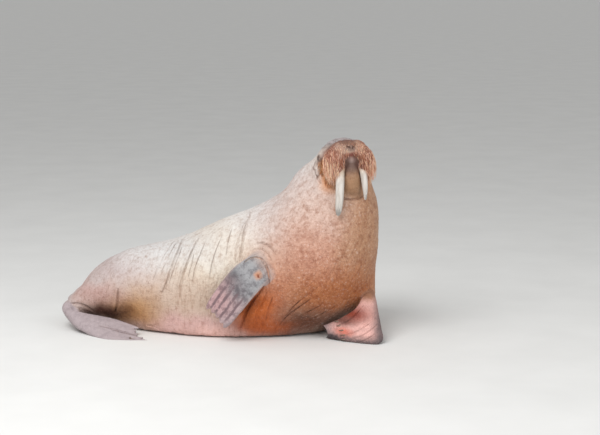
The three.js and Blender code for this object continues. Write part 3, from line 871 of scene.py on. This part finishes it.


# Broad spots of colour on the hide. Each has its colour, its place, how far it reaches, how soft its
# edge is and how much of it there is. Places are pixels of the picture and reaches metres, but on the
# head both are millimetres in its own frame.
# A few of the spots are painted shade in hollows and under overhangs, and two are painted light: on the
# belly's underside and a highlight on the lower lip.

CREAM = paint(215, 203, 187)
HIDE_TONES = (
    (paint(190, 176, 175), (92, 280), (0.5, 1.2, 0.5), 0.7, 0.95),
    (paint(200, 174, 156), (190, 304), (0.62, 1.2, 0.13), 0.9, 0.8),
    (paint(206, 167, 162), (195, 331), (0.62, 1.2, 0.1), 0.7, 0.9),
    # painted light on the belly's underside, bounced up from the floor
    (paint(238, 194, 184), (226, 337), (0.36, 1.2, 0.05), 0.9, 0.85),
    (paint(216, 216, 216), (165, 246), (0.34, 1.2, 0.1), 0.9, 0.8),
    (paint(226, 224, 222), (258, 208), (0.55, 1.2, 0.17), 0.9, 0.85),
    (paint(206, 207, 210), (292, 190), (0.25, 0.6, 0.3), 0.8, 0.9),
    (paint(208, 180, 166), (322, 225), (0.34, 0.9, 0.3), 0.7, 0.85),
    (paint(192, 140, 116), (318, 268), (0.36, 0.9, 0.24), 0.8, 0.9),
    (paint(184, 138, 104), (368, 225), (0.16, 1.0, 0.6), 0.8, 0.9),
    (paint(172, 104, 58), (335, 296), (0.4, 0.8, 0.17), 0.7, 0.9),
    # dark brown of the lower chest, darkened as painted shade where it overhangs the left fore flipper
    (paint(98, 47, 17), (302, 325), (0.34, 0.9, 0.12), 0.8, 0.92),
    (paint(186, 104, 60), (268, 300), (0.12, 0.3, 0.2), 0.9, 0.6),
    (paint(202, 108, 50), (253, 309), (0.13, 0.26, 0.15), 0.6, 0.95),
    (paint(168, 82, 32), (262, 327), (0.16, 0.3, 0.05), 0.9, 0.8),
    # orange-brown of the armpit, darkened as painted shade under the right fore flipper's edge
    (paint(112, 50, 22), (250, 303), (0.045, 0.18, 0.1), 0.9, 0.7),
    (paint(186, 140, 92), (134, 311), (0.15, 0.4, 0.12), 0.9, 0.9),
    (paint(160, 108, 60), (128, 316), (0.08, 0.3, 0.05), 1.0, 0.6),
    # the next two: brown of the groin darkened as painted shade, darkest deep between the flank and the hind
    # flipper
    (paint(126, 84, 54), (106, 306), (0.14, 0.3, 0.09), 0.9, 0.7),
    (paint(54, 18, 4), (107, 312), (0.14, 0.3, 0.05), 0.8, 0.93),
    (paint(190, 152, 146), (92, 291), (0.16, 0.4, 0.06), 0.9, 0.6),
)
HEAD_TONES = (
    (paint(148, 136, 134), (-20, 0, 132), (220, 170, 86), 0.5, 0.9),
    (paint(98, 72, 62), (96, 0, 98), (60, 90, 32), 0.6, 0.9),
    (paint(122, 66, 46), (130, 84, -30), (112, 100, 130), 0.35, 0.95),
    (paint(122, 66, 46), (130, -84, -30), (112, 100, 130), 0.35, 0.95),
    (paint(88, 54, 42), (130, 0, 70), (96, 96, 40), 0.5, 0.92),
    (paint(104, 66, 50), (194, 0, 58), (46, 70, 24), 0.6, 0.85),
    (paint(204, 142, 96), (74, 126, -120), (66, 66, 96), 0.6, 0.9),
    (paint(204, 142, 96), (74, -126, -120), (66, 66, 96), 0.6, 0.9),
    # brown skin round each eye, darkened as painted shade of the fold below it
    (paint(104, 62, 42), (34, 150, -8), (40, 40, 34), 0.7, 0.8),
    (paint(104, 62, 42), (34, -150, -8), (40, 40, 34), 0.7, 0.8),
    (paint(112, 90, 82), (150, 0, -70), (76, 66, 66), 0.4, 0.95),
    (paint(152, 116, 86), (100, 0, -180), (110, 120, 80), 0.6, 0.9),
    (paint(128, 104, 94), (226, 0, 24), (36, 34, 26), 0.5, 0.9),
    # painted shade where the whisker pads meet in front, above the mouth
    (paint(110, 42, 38), (218, 0, -20), (38, 22, 14), 0.8, 0.8),
    # painted highlight on the top of the lower lip
    (paint(176, 156, 150), (196, 0, -44), (34, 26, 13), 0.9, 0.5),
)
FLIPPER_TONES = (
    (paint(152, 152, 154), (243, 275), (0.24, 0.3, 0.17), 0.3, 0.95),
    (paint(94, 92, 96), (227, 278), (0.075, 0.2, 0.065), 0.8, 0.95),
    (paint(190, 152, 152), (216, 300), (0.13, 0.3, 0.13), 0.8, 0.85),
    (paint(120, 118, 122), (238, 291), (0.06, 0.2, 0.045), 0.9, 0.7),
    (paint(228, 178, 168), (362, 322), (0.24, 0.3, 0.2), 0.3, 0.95),
    (paint(128, 46, 20), (352, 314), (0.11, 0.2, 0.05), 0.9, 0.95),
    (paint(206, 104, 80), (344, 332), (0.05, 0.2, 0.025), 0.9, 0.8),
    (paint(92, 44, 28), (343, 321), (0.07, 0.2, 0.025), 0.9, 0.8),
    (paint(88, 80, 82), (386, 330), (0.05, 0.3, 0.24), 0.8, 0.9),
    (paint(88, 80, 82), (366, 348), (0.22, 0.3, 0.035), 0.8, 0.9),
    (paint(58, 52, 54), (330, 338), (0.11, 0.3, 0.035), 0.7, 0.95),
    (paint(150, 104, 76), (368, 290), (0.09, 0.3, 0.055), 0.5, 0.95),
    (paint(196, 140, 108), (258, 275), (0.024, 0.06, 0.024), 0.7, 0.9),
    (paint(116, 54, 36), (258.5, 276), (0.008, 0.05, 0.01), 0.7, 0.9),
)
FOOT = paint(172, 158, 160)
RIGHT_FORE_SPOT = ((235, 285), (0.3, 0.4, 0.24))


def hide_colour(finish):
    """The markings of the whole animal, with painted shade in its creases, wrinkles, mouth and hollows and
    painted light on its belly and lip, by place and by what the skin knows of itself.
    """
    loose = finish.wavering(0.16, 5.0)
    close = finish.wavering(0.03, 16.0)
    ragged = finish.wavering(0.03, 50.0)
    colour = CREAM
    for tone, pixel, radii, soft, share in HIDE_TONES:
        colour = finish.mix(colour, tone, finish.spot(on_skin(pixel), radii, soft, loose) * share)
    warm = finish.spot(on_skin((335, 250)), (0.5, 1.2, 0.6), 0.5, loose)
    mottle = finish.noise(9.0, 5.0, 0.65).between(0.35, 0.7)
    colour = finish.times(colour, paint(226, 210, 202), mottle * (warm * 0.25 + 0.2))
    speckle = finish.noise(68.0, 3.0, 0.75)
    colour = finish.times(colour, paint(176, 140, 124), speckle.between(0.48, 0.72) * (warm * 0.3 + 0.07))
    colour = finish.mix(colour, paint(228, 208, 202), speckle.between(0.46, 0.28) * (warm * 0.35 + 0.05))
    blotches = finish.noise(24.0, 3.0, 0.6)
    colour = finish.times(colour, paint(206, 176, 160), blotches.between(0.45, 0.7) * warm * 0.5)
    # Painted shade of fine upright wrinkles: thin darker streaks all over, and darker lines on the flanks
    streaks = finish.noise(1.0, 4.0, 0.7, place=finish.stretched((60.0, 60.0, 7.0)))
    colour = finish.times(colour, paint(196, 174, 160), streaks.between(0.5, 0.7) * 0.3)
    wrinkle_shade_lines = finish.noise(1.0, 3.0, 0.5, place=finish.stretched((38.0, 12.0, 5.0)))
    upright = (wrinkle_shade_lines - 0.5).abs().between(0.03, 0.0) * (1 - warm)
    colour = finish.times(colour, paint(190, 164, 146), upright * mottle * 0.4)
    for tone, place, radii, soft, share in HEAD_TONES:
        mask = finish.spot(on_head(*place), [r * MM for r in radii], soft, close)
        colour = finish.mix(colour, tone, mask * share)
    colour = finish.times(colour, paint(196, 172, 158), finish.noise(36.0, 4.0, 0.7).between(0.46, 0.7) * 0.4)
    bare = FOOT
    for tone, pixel, radii, soft, share in FLIPPER_TONES:
        bare = finish.mix(bare, tone, finish.spot(on_skin(pixel), radii, soft, ragged) * share)
    patchy = finish.noise(24.0, 5.0, 0.7)
    pixel, radii = RIGHT_FORE_SPOT
    right_fore = finish.spot(on_skin(pixel), radii, 0.2, finish.place)
    bare = finish.times(bare, paint(146, 138, 144), patchy.between(0.42, 0.64) * (right_fore * 0.42 + 0.2))
    # painted shade in the recessed webs between the digits, strongest on the right fore flipper
    web_shade = finish.reading("web").between(0.35, 0.8) * (right_fore * 0.75 + 0.1)
    bare = finish.mix(bare, paint(112, 92, 96), web_shade * patchy.between(0.25, 0.45))
    bare = finish.mix(bare, paint(206, 180, 172), finish.reading("rim") * right_fore * 0.4)
    colour = finish.mix(colour, bare, finish.reading("flipper"))
    # Painted shade along the creases, with a darker thin line along each crease's middle
    crease = finish.reading("crease")
    line = finish.reading("beside_crease").abs().between(0.46, 0.05)
    colour = finish.times(colour, paint(156, 116, 92), crease * 0.5)
    colour = finish.times(colour, paint(84, 50, 32), crease * line)
    # Painted shade along the line of the mouth and in the groove between the whisker pads
    colour = finish.mix(colour, paint(92, 50, 38), finish.reading("mouth") * 0.5)
    colour = finish.mix(colour, paint(40, 28, 24), finish.reading("eye_rim") * 0.8)
    return colour


def hide_finish():
    finish = Finish("hide", Specular_IOR_Level=0.25, Sheen_Weight=0.03, Sheen_Roughness=0.4)
    finish.colour(hide_colour(finish))
    grain = finish.cells(95.0, place=finish.stretched((1.0, 1.0, 0.6))).between(0.0, 0.35)
    wrinkles = finish.noise(30.0, 6.0, 0.65, place=finish.stretched((1.6, 1.0, 0.4)))
    lumps = finish.noise(46.0, 2.0, 0.5)
    hair = finish.noise(240.0, 2.0, 0.6, place=finish.stretched((1.0, 1.0, 0.3)))
    finish.rough(grain * 0.3 + wrinkles + lumps * 0.8 + hair * 0.15, 0.006)
    finish.feed(finish.shader.inputs["Roughness"], finish.noise(40.0, 3.0) * 0.25 + 0.55)
    return finish.material


def ivory_finish():
    finish = Finish("ivory", Roughness=0.35)
    streaks = finish.noise(60.0, 4.0, 0.6, place=finish.stretched((1.0, 1.0, 0.12)))
    colour = finish.mix(paint(198, 192, 185), paint(166, 156, 145), streaks.between(0.42, 0.7) * 0.7)
    worn = finish.reading("tip") * streaks.between(0.4, 0.56)
    colour = finish.mix(colour, paint(122, 120, 116), worn * 0.75)
    finish.colour(finish.mix(colour, paint(196, 160, 116), finish.reading("root") * 0.5))
    finish.rough(streaks, 0.002)
    return finish.material


def strand_finish(name, roughness, stops):
    """Strands, each of its own tint along a run of colours."""
    finish = Finish(name, Roughness=roughness)
    finish.colour(finish.node("ShaderNodeValToRGB", {"stops": stops}, {"Fac": finish.reading("tint")}))
    return finish.material


def eye_finish(side):
    finish = Finish(f"eye_{side}", Roughness=0.06, Coat_Weight=0.6, Coat_Roughness=0.03)
    middle, radius, way = eye_of(side)
    pupil = finish.vector("DISTANCE", finish.place, tuple(middle + way * radius), "Value")
    colour = finish.mix(paint(86, 50, 30), paint(14, 10, 9), pupil.between(0.4 * radius, 0.3 * radius))
    finish.colour(finish.mix(colour, paint(104, 70, 60), pupil.between(0.62 * radius, 0.8 * radius)))
    return finish.material


def claw_finish():
    finish = Finish("claws", Roughness=0.45)
    finish.colour(finish.mix(paint(70, 60, 56), paint(150, 128, 110), finish.noise(120.0, 3.0)))
    finish.rough(finish.noise(200.0, 2.0), 0.001)
    return finish.material


# Horn: tusks and claws, drawn as rings along a curve

def horn(bm, line, radius_at, steps, sides):
    """A closed tapering horn along a curve through places in metres."""
    shares = np.linspace(0, 1, steps + 1)
    middles = [Vector(p) for p in curve_at(line, shares)]
    ring = bmesh.ops.create_circle(bm, cap_ends=True, segments=sides, radius=1)["verts"]
    base = [v.co.copy() for v in ring]
    face = ring[0].link_faces[0]
    side = Vector((1, 0, 0))
    for i, (share, middle) in enumerate(zip(shares, middles)):
        ahead = (middles[min(i + 1, steps)] - middles[max(i - 1, 0)]).normalized()
        side = (side - ahead * side.dot(ahead)).normalized()
        up = ahead.cross(side)
        if i:
            grown = bmesh.ops.extrude_discrete_faces(bm, faces=[face])["faces"]
            face = grown[0]
        corners = list(face.verts)
        for corner, place in zip(corners, base):
            spread = radius_at(share, math.atan2(place.y, place.x))
            corner.co = middle + (side * place.x + up * place.y) * spread


def tusk_line(side):
    """The solid tusk's own middle line, on the head."""
    sizes = TUSKS[side]
    lean = math.tan(math.radians(sizes["splay"]))
    down = [sizes["length"] * share for _, share in TUSK_CURVE]
    return [on_head(x, SIDES[side] * (sizes["from"] + lean * d), -LIP_DROP - d)
            for (x, _), d in zip(TUSK_CURVE, down)]


def tusk(side):
    sizes = TUSKS[side]

    def radius_at(share, angle):
        taper = 1 - 0.14 * share - sizes["worn"] * share ** sizes["late"]
        flutes = 1 - 0.025 * math.cos(5 * angle) ** 2 - 0.02 * math.cos(3 * angle + 1)
        end = math.sqrt(max(1 - max(share - 0.97, 0) ** 2 / 0.0012, 0.02))
        return sizes["radius"] * MM * taper * flutes * end

    bm = bmesh.new()
    horn(bm, tusk_line(side), radius_at, 60, 40)
    bmesh.ops.recalc_face_normals(bm, faces=bm.faces)
    made = new_object(f"tusk_{side}_ivory", bm)
    points = np.array([v.co for v in made.data.vertices])
    root, *_, tip = tusk_line(side)
    way = (tip - root).normalized()
    share = (points - np.array(root)) @ np.array(way) / (tip - root).length
    write_reading("tip", smooth_step(0.68, 1.0, share), made.data)
    write_reading("root", 1 - smooth_step(0.1, 0.4, share), made.data)
    made.data.materials.append(IVORY)
    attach(made, "root")
    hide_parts(f"tusk_{side}")


def claw_radius(share, _):
    return CLAW_RADIUS * MM * (1 - 0.75 * share)


def claws(name, shape):
    """A small nail on each digit, lying on its upper face a little short of the tip, clear of the floor."""
    bm = bmesh.new()
    for digit in range(DIGITS):
        across = np.array([(2 * digit + 1) / DIGITS - 1])
        middle, out, ahead, half = (v[0] for v in place_on(shape, across, np.array([CLAW_AT])))
        root = middle + out * half
        places = [root + along * ahead + up * out for along, up in CLAW_LINE]
        under = min(place[2] for place in places) - CLAW_RADIUS
        places = [place - np.array((0, 0, min(under, 0))) for place in places]
        horn(bm, [Vector(p) * MM for p in places], claw_radius, 8, 10)
    bmesh.ops.recalc_face_normals(bm, faces=bm.faces)
    made = new_object(f"claws_{name}", bm)
    made.data.materials.append(CLAW)
    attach(made, "root")


def eyeball(side):
    middle, radius, way = eye_of(side)
    bm = bmesh.new()
    bmesh.ops.create_uvsphere(bm, u_segments=40, v_segments=24, radius=radius)
    for vertex in bm.verts:
        facing = max(vertex.co.normalized().dot(way), 0)
        vertex.co *= 1 + 0.05 * smooth_step(0.75, 1.0, facing)
    bmesh.ops.translate(bm, verts=bm.verts, vec=middle)
    made = new_object(f"eyeball_{side}", bm)
    made.data.materials.append(eye_finish(side))
    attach(made, "root")
    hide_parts(f"eye_{side}")


# Whiskers and short hair: tapered strands, each with its root in the skin

PATCH = 0.003  # size of a strand's patch on the map that its colours are baked by


def strands(name, roots, ways, droops, lengths, radii, tints, rings, sides):
    """Many tapered strands as one mesh. Arrays in metres; a droop bends a strand as it runs out."""
    count = len(roots)
    shares = np.linspace(-0.12, 1, rings + 1)
    ways = unit(ways)
    first = unit(np.cross(ways, np.array((0.31, 0.42, 0.85))))
    second = np.cross(ways, first)
    angles = 2 * math.pi * np.arange(sides) / sides
    points = np.empty((count, rings * sides + 1, 3))
    for ring, share in enumerate(shares[:-1]):
        middle = roots + lengths[:, None] * (share * ways + max(share, 0) ** 2 * droops)
        spread = radii[:, None] * (1 - 0.8 * max(share, 0))
        for k, angle in enumerate(angles):
            away = math.cos(angle) * first + math.sin(angle) * second
            points[:, ring * sides + k] = middle + spread * away
    points[:, -1] = roots + lengths[:, None] * (ways + droops)
    tip = rings * sides
    faces = [tuple(range(sides))[::-1]]
    for ring in range(rings - 1):
        for k in range(sides):
            a, b = ring * sides + k, ring * sides + (k + 1) % sides
            faces.append((a, b, b + sides, a + sides))
    faces += [(tip - sides + k, tip - sides + (k + 1) % sides, tip) for k in range(sides)]
    all_faces = [tuple(v + i * (tip + 1) for v in face) for i in range(count) for face in faces]
    mesh = bpy.data.meshes.new(name)
    mesh.from_pydata(points.reshape(-1, 3).tolist(), [], all_faces)
    mesh.polygons.foreach_set("use_smooth", [True] * len(mesh.polygons))
    made = bpy.data.objects.new(name, mesh)
    bpy.context.collection.objects.link(made)
    lay_bake_map(mesh, roots, tip + 1)
    write_reading("tint", np.repeat(tints, tip + 1), mesh)
    return made


def lay_bake_map(mesh, roots, points_each):
    """Lay each strand as a small patch at its root's place on the head unrolled about its crown."""
    local = in_head(roots)
    size = np.linalg.norm(local, axis=1)
    around = 0.5 + np.arctan2(local[:, 1], local[:, 0]) / (2 * math.pi)
    height = 0.5 + np.arcsin(np.clip(local[:, 2] / size, -1, 1)) / math.pi
    spin = 2.4 * np.arange(points_each)
    patch = PATCH / 2 * np.stack([np.cos(spin), np.sin(spin)], axis=1)
    places = (np.stack([around, height], axis=1)[:, None] * 0.98 + 0.01 + patch).reshape(-1, 2)
    corners = np.empty(len(mesh.loops), np.int32)
    mesh.loops.foreach_get("vertex_index", corners)
    mesh.uv_layers.new(name="OFBake").data.foreach_set("uv", places[corners].ravel())


def skin_towards(middle, way):
    """The skin's place and outward way where a line out of the head leaves it."""
    place, normal, _, _ = surface.ray_cast(middle + way * 0.45, -way)
    return place, normal


def tufted(roots, draw):
    """A tint for each strand, alike for neighbours, as wet whiskers hang together."""
    close = noise_at(np.array(roots), np.array((140, 140, 32)), 5)
    return np.clip(0.5 + 1.1 * close + draw.uniform(-0.22, 0.22, len(roots)), 0, 1)


WHISKER_SPACING = 6.6  # millimetres between roots
HAIR_FROM = (-20, 0, 0)  # the place on the head that its short hair radiates from
SHORT_ROUND_TUSK = 45 * MM  # how far from a tusk's root the whiskers stay short
SHORT_WHISKER = 11
NOSE_PATCH = (np.array((226, 0, 24)), np.array((40, 26, 22)))  # a ball of bare skin
BARE_ROUND_EYE = 28 * MM


def scattered(places, spacing, draw):
    """Which of many places to keep so that no two are nearer than a spacing."""
    taken = {}
    kept = []
    around = [(i, j, k) for i in (-1, 0, 1) for j in (-1, 0, 1) for k in (-1, 0, 1)]
    for index in draw.permutation(len(places)):
        place = places[index]
        cell = tuple(int(v) for v in place // spacing)
        close = (taken.get(tuple(a + b for a, b in zip(cell, step))) for step in around)
        if all(other is None or np.linalg.norm(other - place) >= spacing for other in close):
            taken[cell] = place
            kept.append(index)
    return np.array(kept)


def pad_whiskers(side):
    """Stiff whiskers all over a pad, combed down and outwards, longest low and outside."""
    draw = np.random.default_rng(7 + SIDES[side])
    local = in_head(hide.points)
    inner = SIDES[side] * local[:, 1]
    on_pad = (outside(local, PAD_BALLS, SIDES[side]) < 9) & (local[:, 0] > 62) & (inner > 1)
    bridge = (local[:, 0] > 84) & (local[:, 2] > 20) & (inner > 1) & (inner < 70)
    bald = (outside(local, JAW_BALLS) < 5) | (ball_depth(local, *NOSE_PATCH) < 0)
    chosen = np.nonzero((on_pad | bridge) & ~bald)[0]
    chosen = chosen[scattered(local[chosen], WHISKER_SPACING, draw)]
    roots, normals, local = hide.points[chosen], hide.outward[chosen], local[chosen]
    outer = smooth_step(30, 150, SIDES[side] * local[:, 1])[:, None]
    low = smooth_step(70, -130, local[:, 2])[:, None]
    down, outwards = np.array(head_way(0, 0, -1)), np.array(head_way(0, SIDES[side], 0))
    ways = normals * (0.4 - 0.2 * outer) + down * (0.7 + 0.3 * low) + outwards * 0.2 * (1 - outer)
    ways = ways + draw.normal(size=ways.shape) * 0.12
    droops = down * (0.25 + 0.15 * outer) - normals * 0.16
    lengths = (12 + 9 * low + 22 * outer * low)[:, 0]
    above_tusk = np.linalg.norm(roots - np.array(tusk_line(side)[0]), axis=1) < SHORT_ROUND_TUSK
    lengths = np.where(above_tusk, SHORT_WHISKER, lengths) * draw.uniform(0.75, 1.2, len(chosen)) * MM
    shade = 0.22 * (outer * low)[:, 0] - 0.6 * smooth_step(38, 72, local[:, 2]) + 0.05
    made = strands(f"whiskers_{side}", roots, ways, droops, lengths,
                   draw.uniform(0.9, 1.6, len(chosen)) * MM, tufted(roots, draw) + shade, 4, 4)
    made.data.materials.append(WHISKER)
    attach(made, "root")


def short_hair(name, material, balls, number, length, lie, seed):
    """Short hairs that lie along the head, with their roots inside balls on its left or right."""
    draw = np.random.default_rng(seed)
    flow = head_way(*lie)
    centres = [np.array(centre) for centre, _ in balls]
    roots, ways = [], []
    while len(roots) < number:
        k = draw.integers(len(balls))
        radii = np.array(balls[k][1])
        local = centres[k] + radii * draw.uniform(-1, 1, 3)
        away = local - np.array(HAIR_FROM)
        place, normal = skin_towards(on_head(*HAIR_FROM), head_way(*away))
        found = np.array([HEAD.inverted() @ place])
        if ball_depth(found, centres[k], radii)[0] > draw.uniform(-0.4, 0) * radii.min():
            continue
        if min((place - eye_of(side)[0]).length for side in SIDES) < BARE_ROUND_EYE:
            continue
        roots.append(place)
        along = (flow - normal * flow.dot(normal)).normalized()
        ways.append(along + normal * draw.uniform(0.2, 0.45) + Vector(draw.normal(size=3)) * 0.15)
    count = len(roots)
    droops = np.tile(np.array((0, 0, -0.15)), (count, 1))
    made = strands(name, np.array(roots), np.array(ways), droops, length * MM * draw.uniform(0.6, 1.2, count),
                   draw.uniform(0.7, 1.1, count) * MM, tufted(roots, draw), 2, 3)
    made.data.materials.append(material)
    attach(made, "root")


camera()
bpy.context.scene.view_settings.view_transform = "Standard"
HIDE = hide_finish()
IVORY = ivory_finish()
WHISKER = strand_finish("whiskers", 0.42, (
    (0.0, paint(118, 60, 40)), (0.25, paint(194, 122, 86)), (0.5, paint(226, 172, 140)),
    (0.75, paint(230, 186, 170)), (1.0, paint(246, 212, 178))))
CHEEK_HAIR = strand_finish("cheek_hair", 0.6, (
    (0.0, paint(150, 92, 56)), (0.5, paint(208, 136, 84)), (1.0, paint(226, 176, 128))))
CROWN_HAIR = strand_finish("crown_hair", 0.6, (
    (0.0, paint(112, 98, 94)), (0.5, paint(182, 170, 170)), (1.0, paint(220, 210, 210))))
CLAW = claw_finish()
skin.data.materials.clear()
skin.data.materials.append(HIDE)
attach(skin, "root")
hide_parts(*FLESH)
for side in SIDES:
    tusk(side)
    eyeball(side)
    pad_whiskers(side)
for name, shape in FLIPPERS.items():
    claws(name, shape)
CHEEKS = [((78, side * 126, -125), (54, 60, 80)) for side in SIDES.values()]
CHEEKS += [((44, side * 145, -50), (36, 50, 60)) for side in SIDES.values()]
short_hair("cheek_hair", CHEEK_HAIR, CHEEKS, 2600, 16, (-0.25, 0, -1), 21)
CROWN = [((26, 0, 124), (104, 110, 58)), ((-40, 0, 130), (120, 120, 60))]
short_hair("crown_hair", CROWN_HAIR, CROWN, 3600, 11, (-1, 0, -0.2), 22)


def floor():
    bm = bmesh.new()
    bmesh.ops.create_grid(bm, x_segments=1, y_segments=1, size=FLOOR_HALF)
    made = new_object("floor", bm)
    finish = Finish("floor", Roughness=0.8)
    finish.colour(finish.mix(paint(226, 226, 224), paint(214, 214, 212), finish.noise(2.0)))
    made.data.materials.append(finish.material)


LAMP_SIZE = 5
SKY_STRENGTH = 0.55


def lamp(name, place, target, size, power):
    """A square soft light of a size in metres and a power in watts, turned to a target."""
    light = bpy.data.lights.new(name, "AREA")
    light.size = size
    light.energy = power
    made = bpy.data.objects.new(name, light)
    made.location = place
    made.rotation_euler = (Vector(target) - Vector(place)).to_track_quat("-Z", "Y").to_euler()
    bpy.context.collection.objects.link(made)


floor()
lamp("key", (-2.5, -4.5, 6.5), (0, 0, 0.4), LAMP_SIZE, 500)
lamp("fill", (6, -7, 2.4), (0.4, 0, 0.5), LAMP_SIZE, 230)
world = bpy.data.worlds.new("sky")
bpy.context.scene.world = world
world.use_nodes = True
sky = world.node_tree.nodes["Background"].inputs
sky["Color"].default_value = (1, 1, 1, 1)
sky["Strength"].default_value = SKY_STRENGTH
